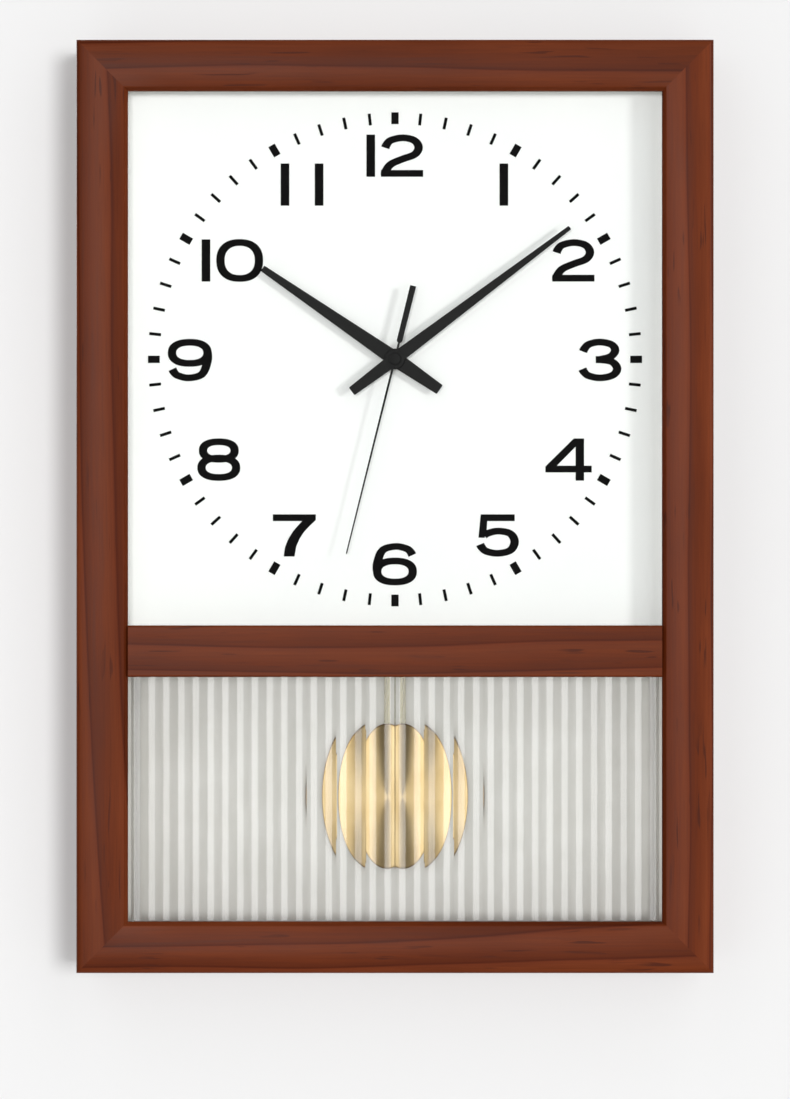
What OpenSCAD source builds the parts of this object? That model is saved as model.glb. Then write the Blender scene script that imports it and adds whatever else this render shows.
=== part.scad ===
// Wall clock: a square dial over a fluted window, with a quartz movement and a swinging pendulum.
// Millimetres, +X right, +Y towards the wall, +Z up. The front faces -Y.
// The origin is the centre of the keyhole's round entry, on the rear face of the hanger plate.

/* [Case] */
// Outside width of the wooden case
case_w = 340; // [334:1:346]
// Outside height of the wooden case
case_h = 498; // [492:1:504]
// Depth of the case from its front face to the rear face of the hanger plate
case_d = 56; // [56:0.5:58]
// Face width of every moulding, seen from the front
rail_w = 27.5; // [26:0.5:28]
// Thickness of the moulding's side wall, behind its front lip
wall_t = 20; // [19:0.5:20.5]
// Thickness of the moulding's front lip
lip_t = 4.5; // [4:0.5:5]
// Height of the lower window opening
window_h = 130.5; // [126:0.5:132]

/* [Dial] */
// Thickness of the clear pane in front of the dial
pane_t = 2; // [1.8:0.1:2.2]
// Gap between the clear pane and the dial, held by spacer strips
dial_gap = 9; // [9:0.5:10]
// Thickness of the dial board
board_t = 3; // [2.5:0.5:3]
// Outer radius of the ring of minute marks
tick_r = 132.5; // [120:0.5:136]
// Length of every minute mark
tick_len = 6.3; // [4:0.1:8]
// Width of the twelve hour marks
hour_tick_w = 3.9; // [3:0.1:5]
// Width of the other minute marks
minute_tick_w = 1.6; // [1:0.1:2]
// Height of the flat-ended numerals
numeral_h = 22.6; // [18:0.2:24]
// Stroke width of a numeral's upright parts
stem_w = 4.6; // [3.6:0.1:5]
// Stroke width of a numeral's level parts
bar_w = 3.6; // [2.8:0.1:4]

/* [Hands] */
// Hour hand, from the centre to its tip
hour_len = 86; // [70:1:96]
// Minute hand, from the centre to its tip
minute_len = 117; // [100:1:122]
// Second hand, from the centre to its tip
second_len = 107.6; // [90:0.2:118]
// Tail of the hour hand and of the minute hand
tail_len = 29; // [20:1:34]
// Counterweight tail of the second hand
second_tail = 40.2; // [30:0.2:44]
// Hour hand's angle at rest, clockwise from twelve
hour_angle = 304.4; // [0:0.1:360]
// Minute hand's angle at rest, clockwise from twelve
minute_angle = 53.1; // [0:0.1:360]
// Second hand's angle at rest, clockwise from twelve
second_angle = 194; // [0:0.1:360]

/* [Fluted window] */
// Thickness of the fluted pane at its ridges
flute_pane_t = 5; // [4.8:0.1:5.2]
// Width of one flute
flute_pitch = 15.64; // [15:0.02:16]
// Radius of the hollow of one flute
flute_r = 17; // [13:0.5:20]

/* [Pendulum] */
// Radius of the bob
bob_r = 39.5; // [30:0.5:42]
// Bob's centre below the dial's centre
bob_drop = 236.1; // [225:0.1:240]
// Width of the flat rod
rod_w = 6.5; // [5:0.5:8]
// Pendulum pivot below the dial's centre
pivot_drop = 46; // [45.5:0.1:46.5]

/* [Movement] */
// Half the width of the movement's case
move_half_w = 30; // [30:0.5:31]
// Radius of the threaded centre bushing
bushing_r = 3.2; // [3.1:0.1:3.3]

/* [Hidden] */
$fn = 64;

// Small cut allowance, so that cutting tools pass right through
eps = 0.5;
half_w = case_w / 2;
// The hanger plate lies 0.5 mm inside the top edge, with the keyhole 9.5 mm below its own top edge
plate_above = 9.5;
plate_below = 6.5;
plate_inset = 0.5;
case_top = plate_above + plate_inset;
case_bottom = case_top - case_h;
front_y = -case_d;

// Openings, seen from the front
open_half_w = half_w - rail_w;
dial_open_top = case_top - rail_w;
dial_open_h = case_h - 3 * rail_w - window_h;
mid_top = dial_open_top - dial_open_h;
mid_bottom = mid_top - rail_w;
mid_z = (mid_top + mid_bottom) / 2;
window_bottom = case_bottom + rail_w;
dial_z = dial_open_top - dial_open_h / 2;

// Moulding profile
edge_r = 2.5;
inner_chamfer = 2;
rebate_d = 5;
side_rebate_w = 8;
top_rebate_w = 3;
mitre_reach = rail_w + 2;

// Middle rail's web, between the two panes
web_t = 9;
web_rear_y = -30;
cavity_half_w = half_w - wall_t;
cavity_top = case_top - wall_t;
cavity_bottom = case_bottom + wall_t;

// Depth positions, from front to rear
lip_rear_y = front_y + lip_t;
pane_rear_y = lip_rear_y + pane_t;
dial_y = pane_rear_y + dial_gap;
board_rear_y = dial_y + board_t;
gasket_t = 1;
cover_y = board_rear_y + gasket_t;
cover_t = 1.6;
train_front_y = cover_y + cover_t;
case_rear_y = -14;
train_rear_y = case_rear_y - cover_t;
flute_rear_y = lip_rear_y + flute_pane_t;
back_front_y = -5;
back_t = 4;
back_rear_y = back_front_y + back_t;
lining_t = 1;
lining_side_d = 20;
pad_t = 2;

// Loose fit of panes and boards in the case
pane_play = 0.5;
flute_land = 0.3;
strip_w = 5;
butt_gap = 0.1;
bead_w = 5;
bead_d = 8;
print_t = 0.2;

// Dowels of the middle rail
dowel_r = 2.5;
dowel_len = 24;
dowel_depth = 12;
dowel_y = -42;
dowel_play = 0.02;

// Corner nails, driven from the rear face
nail_leg = 8;
nail_t = 0.6;
nail_depth = 9;
nail_inset = 7;
nail_play = 0.05;

// Keyhole
keyhole_r = 4;
keyhole_slot_w = 4;
keyhole_travel = 5.5;
plate_len = 42;
plate_t = 1.5;
plate_screw_x = 15;
plate_screw_r = 1.5;
pocket_half_w = 6;
pocket_d = 12;

// Rear board's window over the movement
access_half_w = 50;
access_top = dial_z + 40;
access_bottom = dial_z - 90;
board_screw_r = 1.4;
board_screw_len = 12;
board_screw_inset = 16;
side_screw_z = [case_top - 60, case_top - 180, case_top - 300, case_bottom + 60];
bottom_screw_x = [-100, 100];

// Movement case, around the dial's centre
move_top = dial_z + 28;
move_bottom = dial_z - 76;
wall_m = 1.6;
pocket_top = dial_z - 22.5;
pocket_bottom = dial_z - 38.5;
pocket_floor_y = -31;
battery_r = 7.25;
battery_len = 49.5;
battery_x = -24;
battery_y = -22.5;
battery_z = (pocket_top + pocket_bottom) / 2;

// Hub stack: the tubes turn inside each other with 0.08 mm of play
bushing_bore = 1.98;
hour_tube_r = 1.9;
hour_tube_bore = 1.28;
minute_tube_r = 1.2;
minute_tube_bore = 0.58;
second_arbor_r = 0.5;
nut_t = 2;
washer_t = 0.6;
washer_r = 5;
nut_flats = 8;
hand_t = 0.6;
hour_hand_y = dial_y - 4.3;
minute_hand_y = hour_hand_y - 1.8;
second_hand_y = minute_hand_y - 1.5;
second_hand_t = 0.3;
hour_hub_r = 5.6;
minute_hub_r = 5.3;
cap_r = 3.2;
tube_top = 0.3;

// Gear teeth, in modules: kept short and thin so that the wheels run freely
addendum = 0.7;
dedendum = 1.15;
tooth_root = 0.62;
tooth_tip = 0.2;

// Gear train: modules, teeth and centre distances
work_module = 0.55;
cannon_teeth = 10;
minute_wheel_teeth = 30;
work_pinion_teeth = 8;
hour_wheel_teeth = 32;
third_distance = 10.2;
leaf_teeth = 8;
third_teeth = 60;
centre_teeth = 64;
fast_module = 0.36;
second_teeth = 40;
intermediate_teeth = 36;
rotor_teeth = 6;
work_distance = work_module * (cannon_teeth + minute_wheel_teeth) / 2;
third_module = 2 * third_distance / (leaf_teeth + third_teeth);
centre_module = 2 * third_distance / (leaf_teeth + centre_teeth);
intermediate_distance = fast_module * (leaf_teeth + second_teeth) / 2;
rotor_distance = fast_module * (rotor_teeth + intermediate_teeth) / 2;

// Directions between the arbors, counter-clockwise from +X
work_dir = 45;
third_dir = 225;
intermediate_dir = 135;
rotor_dir = 90;
work_pos = polar(work_distance, work_dir);
third_pos = polar(third_distance, third_dir);
intermediate_pos = polar(intermediate_distance, intermediate_dir);
rotor_pos = intermediate_pos + polar(rotor_distance, rotor_dir);

// Wheel layers, each from its front face, counted from the front of the train
layer_hour = train_front_y + 0.5;
layer_minute = train_front_y + 2.7;
layer_centre = train_front_y + 5.1;
layer_third = train_front_y + 7.5;
layer_plate = train_front_y + 9.3;
layer_second = train_front_y + 11.3;
layer_intermediate = train_front_y + 13.2;
layer_stator = train_front_y + 15.3;
wheel_t = 0.9;
pinion_extra = 0.35;
plate_thick = 1.2;
arbor_r = 0.4;
work_arbor_r = 0.8;
bearing_play = 0.05;
bearing_depth = 0.8;

// Motor
magnet_r = 3;
magnet_t = 1.7;
stator_t = 0.8;
stator_play = 0.5;
coil_x = [4, 20];
coil_z = 19;
coil_r = 3.3;

// Pendulum stack behind the movement
pivot_z = dial_z - pivot_drop;
pin_r = 1.2;
pin_play = 0.05;
lever_front_y = case_rear_y + 0.4;
lever_rear_y = lever_front_y + 2.6;
magnet_drop = 18;
lever_magnet_r = 4;
peg_drop = 8;
peg_r = 1.5;
rod_front_y = -10.4;
rod_t = 1.2;
rod_rear_y = rod_front_y + rod_t;
bob_z = dial_z - bob_drop;
bob_front_y = -14;
bob_rim_t = 1;
clip_t = 0.6;

// ---- Small functions and modules ----

function polar(r, a) = [r * cos(a), r * sin(a)];

// Points along an arc, from angle a to angle b
function arc(centre, r, a, b, n) = [for (i = [0 : n]) centre + polar(r, a + (b - a) * i / n)];

function reversed(p) = [for (i = [len(p) - 1 : -1 : 0]) p[i]];

// A softly squared ellipse: the outline of a numeral's closed bowl
function soft(t) = sign(t) * pow(abs(t), 0.86);
function bowl(c, rx, ry) = [for (a = [0 : 8 : 352]) c + [rx * soft(cos(a)), ry * soft(sin(a))]];

// A smooth curve through the points p, with four steps between each two
function ends_added(p) = let (n = len(p) - 1)
    concat([2 * p[0] - p[1]], p, [2 * p[n] - p[n - 1]]);
function curve_point(a, b, c, d, t) =
    (2 * b + (c - a) * t + (2 * a - 5 * b + 4 * c - d) * t * t + (3 * b - a - 3 * c + d) * t * t * t) / 2;
function curve(p) = let (q = ends_added(p)) concat(
    [for (i = [1 : len(q) - 3]) for (t = [0 : 0.25 : 0.75])
        curve_point(q[i - 1], q[i], q[i + 1], q[i + 2], t)],
    [p[len(p) - 1]]);

// One edge of a pen stroke along the points p: upright runs are stem_w wide and level runs bar_w
function pen_edge(p, hand) = [for (i = [0 : len(p) - 1])
    let (
        run = p[min(i + 1, len(p) - 1)] - p[max(i - 1, 0)],
        dir = run / norm(run),
        half = norm([stem_w * dir[1], bar_w * dir[0]]) / 2
    )
    p[i] + hand * half * [-dir[1], dir[0]]];

// Straight-sided gear outline with one tooth centred on angle turn
function gear_outline(teeth, m, turn) =
    let (root = m * (teeth / 2 - dedendum), tip = m * (teeth / 2 + addendum), step = 360 / teeth)
    [for (i = [0 : teeth - 1])
        each [
            polar(root, turn + step * (i - tooth_root / 2)),
            polar(tip, turn + step * (i - tooth_tip / 2)),
            polar(tip, turn + step * (i + tooth_tip / 2)),
            polar(root, turn + step * (i + tooth_root / 2))
        ]];

// Draws a front-view outline and gives it depth from y0 back to y1
module slab(y0, y1) {
    translate([0, y1, 0])
        rotate([90, 0, 0])
            linear_extrude(y1 - y0)
                children();
}

// A block given by its lowest and highest corners
module block(low, high) {
    translate(low)
        cube(high - low);
}

// A round bar along the depth axis, at a front-view point
module bar(p, r, y0, y1) {
    translate([p[0], y1, p[1]])
        rotate([90, 0, 0])
            cylinder(r = r, h = y1 - y0);
}

// Moves a front-view part of the movement to the dial's centre
module at_dial() {
    translate([0, 0, dial_z])
        children();
}

module wheel(p, teeth, m, turn, y0, thick) {
    translate([p[0], 0, p[1]])
        slab(y0, y0 + thick)
            polygon(gear_outline(teeth, m, turn));
}

// A screw driven from the rear: head behind y, shank in front of it
module rear_screw(x, y, z, head_r, head_t, shank_r, shank_len) {
    bar([x, z], head_r, y, y + head_t);
    bar([x, z], shank_r, y - shank_len, y + eps);
}

// ---- Wooden case ----

// Moulding section: first value inward from the outer edge, second value back from the front face
function moulding(rebate_w) = concat(
    [[0, case_d]],
    arc([edge_r, edge_r], edge_r, 180, 270, 6),
    [
        [rail_w - inner_chamfer, 0],
        [rail_w, inner_chamfer],
        [rail_w, lip_t],
        [wall_t, lip_t],
        [wall_t, case_d - rebate_d],
        [wall_t - rebate_w, case_d - rebate_d],
        [wall_t - rebate_w, case_d]
    ]);

// A level moulding; side is 1 for the top and -1 for the bottom
module level_member(side, rebate_w) {
    outer = side > 0 ? case_top : case_bottom;
    intersection() {
        translate([-half_w, 0, 0])
            rotate([90, 0, 90])
                linear_extrude(case_w)
                    polygon([for (p = moulding(rebate_w)) [p[1] - case_d, outer - side * p[0]]]);
        slab(front_y - 1, 1)
            polygon([
                [-half_w, outer],
                [half_w, outer],
                [half_w - mitre_reach, outer - side * mitre_reach],
                [mitre_reach - half_w, outer - side * mitre_reach]
            ]);
    }
}

// An upright moulding; side is 1 for the right and -1 for the left
module upright_member(side) {
    intersection() {
        translate([0, 0, case_bottom])
            linear_extrude(case_h)
                polygon([for (p = moulding(side_rebate_w)) [side * (half_w - p[0]), p[1] - case_d]]);
        slab(front_y - 1, 1)
            polygon([
                [side * half_w, case_top],
                [side * half_w, case_bottom],
                [side * (half_w - mitre_reach), case_bottom + mitre_reach],
                [side * (half_w - mitre_reach), case_top - mitre_reach]
            ]);
    }
}

// One V-shaped nail on each mitre, its legs lying in the two members; grow widens it into a slot
module v_nail(x_side, z_side, grow) {
    x = x_side * (half_w - nail_inset);
    z = z_side > 0 ? case_top - nail_inset : case_bottom + nail_inset;
    t = nail_t / 2 + grow;
    reach = nail_leg + grow;
    slab(-nail_depth - grow, grow > 0 ? eps : 0)
        translate([x, z])
            scale([-x_side, -z_side])
                polygon([[-t, -t], [reach, -t], [reach, t], [t, t], [t, reach], [-t, reach]]);
}

module all_nails(grow) {
    for (x_side = [-1, 1])
        for (z_side = [-1, 1])
            v_nail(x_side, z_side, grow);
}

module dowels(r, extra) {
    for (side = [-1, 1])
        translate([side * (cavity_half_w + dowel_depth - dowel_len / 2), dowel_y, mid_z])
            rotate([0, 90, 0])
                cylinder(r = r, h = dowel_len + extra, center = true);
}

module board_screw_holes(r) {
    for (side = [-1, 1])
        for (z = side_screw_z)
            bar([side * (half_w - board_screw_inset), z], r, back_rear_y - board_screw_len - 1, 1);
    for (x = bottom_screw_x)
        bar([x, case_bottom + board_screw_inset], r, back_rear_y - board_screw_len - 1, 1);
}

module top_rail() {
    color("saddlebrown")
        difference() {
            level_member(1, top_rebate_w);
            all_nails(nail_play);
            // Seat of the hanger plate, flush with the rear face
            block([-plate_len / 2, -plate_t, -plate_below], [plate_len / 2, eps, plate_above]);
            // Room behind the keyhole for the head of the wall screw
            block([-pocket_half_w, -pocket_d, -keyhole_r - 1], [pocket_half_w, eps, plate_above - 1]);
            for (side = [-1, 1])
                bar([side * plate_screw_x, 1.5], plate_screw_r, -12, eps);
        }
}

module bottom_rail() {
    color("saddlebrown")
        difference() {
            level_member(-1, side_rebate_w);
            all_nails(nail_play);
            board_screw_holes(board_screw_r);
        }
}

module stile(side) {
    color("saddlebrown")
        difference() {
            upright_member(side);
            all_nails(nail_play);
            board_screw_holes(board_screw_r);
            dowels(dowel_r + dowel_play, 0.4);
        }
}

module left_stile() {
    stile(-1);
}

module right_stile() {
    stile(1);
}

module mid_rail() {
    color("saddlebrown")
        difference() {
            union() {
                block([-open_half_w, front_y, mid_bottom], [open_half_w, lip_rear_y, mid_top]);
                block([-cavity_half_w, lip_rear_y - eps, mid_z - web_t / 2],
                    [cavity_half_w, web_rear_y, mid_z + web_t / 2]);
            }
            // The front lip ends at the stiles' lips, so the web's tongue is cut back there
            for (side = [-1, 1])
                translate([side * (open_half_w + cavity_half_w) / 2, lip_rear_y - eps / 2, mid_z])
                    cube([cavity_half_w - open_half_w, eps, web_t + 1], center = true);
            dowels(dowel_r + dowel_play, 0.4);
        }
}

module mid_rail_dowels() {
    color("burlywood")
        dowels(dowel_r, 0);
}

module corner_nails() {
    color("slategray")
        all_nails(0);
}

// ---- Panes, dial and back ----

dial_low = mid_z + web_t / 2 + pane_play;
dial_high = cavity_top - pane_play;
window_low = cavity_bottom + pane_play;
window_high = mid_z - web_t / 2 - pane_play;
pane_half_w = cavity_half_w - pane_play;

module dial_glass() {
    color("lightcyan", 0.3)
        block([-pane_half_w, lip_rear_y, dial_low], [pane_half_w, pane_rear_y, dial_high]);
}

// Four separate strips around a rectangle: two full-length uprights, two level ones between them
module strips(half, low, high, w, y0, y1) {
    inner = half - w - butt_gap;
    for (side = [-1, 1])
        block([side > 0 ? half - w : -half, y0, low], [side > 0 ? half : w - half, y1, high]);
    block([-inner, y0, low], [inner, y1, low + w]);
    block([-inner, y0, high - w], [inner, y1, high]);
}

module dial_spacers() {
    color("white")
        strips(pane_half_w, dial_low, dial_high, strip_w, pane_rear_y, dial_y);
}

module dial_beads() {
    color("peru")
        strips(cavity_half_w, mid_z + web_t / 2, cavity_top, bead_w, board_rear_y, board_rear_y + bead_w);
}

module dial_board() {
    color("white")
        difference() {
            block([-pane_half_w, dial_y, dial_low], [pane_half_w, board_rear_y, dial_high]);
            at_dial()
                bar([0, 0], bushing_r + 0.3, dial_y - 1, board_rear_y + 1);
        }
}

// The pane's hollows lie side by side, with a blunt ridge on the clock's centre line
module fluted_glass() {
    half_chord = (flute_pitch - flute_land) / 2;
    axis_y = lip_rear_y - sqrt(flute_r * flute_r - half_chord * half_chord);
    count = floor(pane_half_w / flute_pitch);
    color("honeydew", 0.4)
        difference() {
            block([-pane_half_w, lip_rear_y, window_low], [pane_half_w, flute_rear_y, window_high]);
            for (i = [-count : count - 1])
                translate([(i + 0.5) * flute_pitch, axis_y, window_low - 1])
                    cylinder(r = flute_r, h = window_high - window_low + 2);
        }
}

module window_beads() {
    color("peru")
        strips(cavity_half_w, cavity_bottom, mid_z - web_t / 2, bead_w, flute_rear_y,
            flute_rear_y + bead_d);
}

// One card creased at both sides of the window, so that it lines the case's inner walls too
module lining_card() {
    front_y = back_front_y - lining_t;
    color("ivory")
        union() {
            block([-pane_half_w, front_y, cavity_bottom + pane_play],
                [pane_half_w, back_front_y, mid_top]);
            for (side = [-1, 1])
                block([side > 0 ? pane_half_w - lining_t : -pane_half_w,
                    front_y - lining_side_d, window_low],
                    [side > 0 ? pane_half_w : lining_t - pane_half_w, front_y + 0.5,
                    window_high]);
        }
}

module back_board() {
    side_x = half_w - wall_t + side_rebate_w - 0.25;
    top_z = case_top - wall_t + top_rebate_w - 0.25;
    low_z = case_bottom + wall_t - side_rebate_w + 0.25;
    color("tan")
        difference() {
            block([-side_x, back_front_y, low_z], [side_x, back_rear_y, top_z]);
            block([-access_half_w, back_front_y - 1, access_bottom],
                [access_half_w, back_rear_y + 1, access_top]);
            board_screw_holes(board_screw_r + 0.1);
        }
}

module back_board_screws() {
    color("silver") {
        for (side = [-1, 1])
            for (z = side_screw_z)
                rear_screw(side * (half_w - board_screw_inset), back_rear_y, z, 3, 1.6,
                    board_screw_r - 0.02, board_screw_len);
        for (x = bottom_screw_x)
            rear_screw(x, back_rear_y, case_bottom + board_screw_inset, 3, 1.6,
                board_screw_r - 0.02, board_screw_len);
    }
}

module hanger_plate() {
    color("goldenrod")
        difference() {
            block([-plate_len / 2, -plate_t, -plate_below], [plate_len / 2, 0, plate_above]);
            bar([0, 0], keyhole_r, -plate_t - 1, 1);
            bar([0, keyhole_travel], keyhole_slot_w / 2, -plate_t - 1, 1);
            block([-keyhole_slot_w / 2, -plate_t - 1, 0], [keyhole_slot_w / 2, 1, keyhole_travel]);
            for (side = [-1, 1])
                bar([side * plate_screw_x, 1.5], plate_screw_r + 0.1, -plate_t - 1, 1);
        }
}

module hanger_screws() {
    color("silver")
        for (side = [-1, 1])
            rear_screw(side * plate_screw_x, 0, 1.5, 2.8, 1, plate_screw_r - 0.02, 11);
}

module felt_pads() {
    color("dimgray")
        for (side = [-1, 1])
            for (z = [case_top - 34, case_bottom + 34])
                bar([side * (half_w - 6), z], 5, 0, pad_t);
}

// ---- Dial print ----

// A pen stroke with square ends
module stroke(points) {
    p = curve(points);
    polygon(concat(pen_edge(p, 1), reversed(pen_edge(p, -1))));
}

module ring(c, rx, ry) {
    difference() {
        polygon(bowl(c, rx, ry));
        polygon(bowl(c, rx - stem_w + 0.15, ry - bar_w));
    }
}

// Half the height of a numeral; every numeral is drawn about its own centre
hh = numeral_h / 2;

module digit_0() {
    ring([0, 0], 12.55, hh + 0.15);
}

module digit_1() {
    translate([-stem_w / 2, -hh])
        square([stem_w, numeral_h]);
}

module digit_2() {
    stroke([[-9, 4.2], [-8.3, 5.9], [-5.9, 8.3], [0.4, 9.6], [6.5, 8.2], [8.9, 4.4], [6.6, 0.6],
        [0.2, -1.8], [-6, -4.6], [-8.9, -8.6], [-9, -hh + 0.4]]);
    translate([-11.3, -hh])
        square([22.6, bar_w]);
}

module digit_3() {
    stroke([[-9.2, 4.5], [-8.5, 6], [-6.1, 8.4], [-0.5, 9.65], [5.8, 8.4], [8, 5.2], [5.6, 1.9],
        [0, 0.4], [-2.4, 0.3]]);
    stroke([[-2.4, 0.1], [0, 0.1], [6.2, -0.9], [9.1, -4.6], [6.6, -8.2], [-0.2, -9.6],
        [-6.3, -8.4], [-8.8, -6.2], [-9.5, -4.8]]);
}

module digit_4() {
    foot = -hh + 4.4;
    difference() {
        polygon([[2.8, hh], [8.3, hh], [8.3, foot + bar_w], [12.4, foot + bar_w], [12.4, foot],
            [8.3, foot], [8.3, -hh], [3.8, -hh], [3.8, foot], [-12.4, foot], [-12.4, foot + 3.2]]);
        polygon([[3.8, hh - 4.4], [3.8, foot + bar_w], [-6.3, foot + bar_w]]);
    }
}

module digit_5() {
    polygon([[-9.2, hh], [9, hh], [9, hh - bar_w], [-5.7, hh - bar_w], [-6.1, 1.9], [-7.2, -1.3],
        [-10.4, -1.2]]);
    stroke([[-7.2, 0.1], [-5.0, 1.3], [0.2, 2.35], [6.6, 1], [9, -3.4], [6.6, -8], [0, -9.6],
        [-6.2, -8.5], [-8.8, -6.2], [-9.5, -4.8]]);
}

module digit_6() {
    stroke([[9.3, 4.9], [8.4, 6.6], [6.2, 8.4], [0.4, 9.6], [-6.6, 7.6], [-9.5, 0.6], [-9.6, -4]]);
    ring([0, -3.85], 11.75, 7.45);
}

module digit_7() {
    shoulder = hh - bar_w;
    polygon([[-11.5, hh], [11.5, hh], [11.5, hh - 3.1], [8.3, 5.2], [5.2, 1.9], [2.8, -1.8],
        [1, -6], [0.1, -hh], [-5.7, -hh], [-5, -6.4], [-3.2, -1.8], [-0.4, 2.6], [4.2, shoulder],
        [-11.5, shoulder]]);
}

module digit_8() {
    ring([0, 4.85], 10.7, 6.5);
    ring([0, -4.4], 11.5, 7);
}

module digit_9() {
    rotate(180)
        digit_6();
}

// Where the numerals' centres lie, from the dial's centre
top_z = 109.6;
side_x = 110.1;
upper_z = 94.1;
middle_z = 53.4;
one_x = 58.4;
// The whole set sits a little low on the dial
numeral_drop = 0.35;

module numerals() {
    translate([-13, top_z])
        digit_1();
    translate([3.8, top_z])
        digit_2();
    translate([one_x, upper_z])
        digit_1();
    translate([95.7, middle_z])
        digit_2();
    translate([side_x, 0])
        digit_3();
    translate([93.1, -middle_z])
        digit_4();
    translate([55.2, -upper_z])
        digit_5();
    translate([0, -top_z])
        digit_6();
    translate([-54, -upper_z])
        digit_7();
    translate([-94.5, -middle_z])
        digit_8();
    translate([-side_x, 0])
        digit_9();
    translate([-101.4, middle_z])
        digit_1();
    translate([-83.3, middle_z])
        digit_0();
    for (x = [-59, -40.7])
        translate([x, upper_z])
            digit_1();
}

module ticks() {
    for (i = [0 : 59])
        rotate(-6 * i)
            translate([0, tick_r - tick_len / 2])
                square([i % 5 == 0 ? hour_tick_w : minute_tick_w, tick_len], center = true);
}

module dial_print() {
    color("black")
        at_dial()
            slab(dial_y - print_t, dial_y) {
                ticks();
                translate([0, -numeral_drop])
                    numerals();
            }
}

// ---- Movement: fixed parts ----

module rubber_gasket() {
    color("dimgray")
        difference() {
            block([-22, board_rear_y, dial_z - 22], [22, cover_y, dial_z + 22]);
            at_dial()
                bar([0, 0], bushing_r + 0.3, board_rear_y - 1, cover_y + 1);
        }
}

module movement_front_cover() {
    color("#222222")
        difference() {
            block([-move_half_w, cover_y, move_bottom], [move_half_w, train_front_y, move_top]);
            at_dial() {
                bar([0, 0], bushing_r, cover_y - 1, train_front_y + 1);
                bar(work_pos, work_arbor_r + bearing_play, train_front_y - bearing_depth, train_front_y + 1);
                bar(third_pos, arbor_r + bearing_play, train_front_y - bearing_depth, train_front_y + 1);
            }
        }
}

module movement_rear_cover() {
    inner = move_half_w - wall_m;
    color("#2b2b2b")
        difference() {
            union() {
                difference() {
                    block([-move_half_w, train_front_y, move_bottom], [move_half_w, case_rear_y, move_top]);
                    // Gear chamber
                    block([-inner, train_front_y - 1, pocket_top + wall_m],
                        [inner, train_rear_y, move_top - wall_m]);
                    // Pendulum coil chamber
                    block([-inner, train_front_y - 1, move_bottom + wall_m],
                        [inner, train_rear_y, pocket_bottom - wall_m]);
                    // Way in front of the battery pocket, for the wires
                    block([-inner, train_front_y - 1, pocket_bottom - wall_m - 1],
                        [inner, pocket_floor_y - wall_m, pocket_top + wall_m + 1]);
                    // Battery pocket, open at the rear
                    block([-inner, pocket_floor_y, pocket_bottom], [inner, case_rear_y + 1, pocket_top]);
                }
                // Pillars that carry the train plate
                at_dial()
                    for (p = [[-22, 20], [-22, -14], [22, -14]])
                        bar(p, 2.2, layer_plate + plate_thick, train_rear_y + eps);
                // Boss of the pendulum pivot
                bar([0, pivot_z], 3.2, train_rear_y - 3, train_rear_y + eps);
            }
            at_dial() {
                bar([0, 0], second_arbor_r + bearing_play, train_rear_y - 1, train_rear_y + bearing_depth);
                bar(third_pos, arbor_r + bearing_play, train_rear_y - 1, train_rear_y + bearing_depth);
                bar(intermediate_pos, arbor_r + bearing_play, train_rear_y - 1, train_rear_y + bearing_depth);
                bar(rotor_pos, arbor_r + bearing_play, train_rear_y - 1, train_rear_y + bearing_depth);
                bar(work_pos, work_arbor_r + bearing_play, train_rear_y - 1, case_rear_y + 1);
            }
            bar([0, pivot_z], pin_r, train_rear_y - 4, case_rear_y + 1);
        }
}

module centre_bushing() {
    color("gold")
        at_dial()
            difference() {
                bar([0, 0], bushing_r, dial_y - washer_t - nut_t, train_front_y);
                bar([0, 0], bushing_bore, dial_y - 6, train_front_y + 1);
            }
}

module fixing_washer() {
    color("silver")
        at_dial()
            difference() {
                bar([0, 0], washer_r, dial_y - washer_t, dial_y);
                bar([0, 0], bushing_r + 0.2, dial_y - 3, dial_y + 1);
            }
}

module fixing_nut() {
    color("gold")
        at_dial()
            difference() {
                slab(dial_y - washer_t - nut_t, dial_y - washer_t)
                    circle(r = nut_flats / 2 / cos(30), $fn = 6);
                bar([0, 0], bushing_r, dial_y - 6, dial_y + 1);
            }
}

module train_plate() {
    y0 = layer_plate;
    y1 = layer_plate + plate_thick;
    color("whitesmoke")
        at_dial()
            difference() {
                block([-26, y0, -18.5], [26, y1, 25.5]);
                bar([0, 0], second_arbor_r + bearing_play, y0 - 1, y1 + 1);
                bar(third_pos, arbor_r + 0.4, y0 - 1, y1 + 1);
                bar(work_pos, work_arbor_r + 0.4, y0 - 1, y1 + 1);
                bar(intermediate_pos, arbor_r + bearing_play, y0 - 1, y1 + 1);
                bar(rotor_pos, arbor_r + bearing_play, y0 - 1, y1 + 1);
            }
}

// One soft-iron plate around the rotor, its two legs ending at the coil's core
module stator() {
    y0 = layer_stator;
    y1 = layer_stator + stator_t;
    hole = magnet_r + stator_play;
    color("lightsteelblue")
        at_dial()
            difference() {
                slab(y0, y1)
                    polygon([
                        [rotor_pos[0] - 5, rotor_pos[1] - 4.6],
                        [rotor_pos[0] + 5, rotor_pos[1] - 4.6],
                        [rotor_pos[0] + 5, coil_z - 1.2],
                        [coil_x[0] - 1, coil_z - 1.2],
                        [coil_x[0] - 1, coil_z + 1.2],
                        [rotor_pos[0] + 5, coil_z + 1.2],
                        [rotor_pos[0] + 5, coil_z + coil_r + 1.2],
                        [coil_x[1] + 1, coil_z + coil_r + 1.2],
                        [coil_x[1] + 1, coil_z - 1.2],
                        [coil_x[1] + 3, coil_z - 1.2],
                        [coil_x[1] + 3, coil_z + coil_r + 3],
                        [rotor_pos[0] - 5, coil_z + coil_r + 3]
                    ]);
                bar(rotor_pos, hole, y0 - 1, y1 + 1);
            }
}

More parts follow.
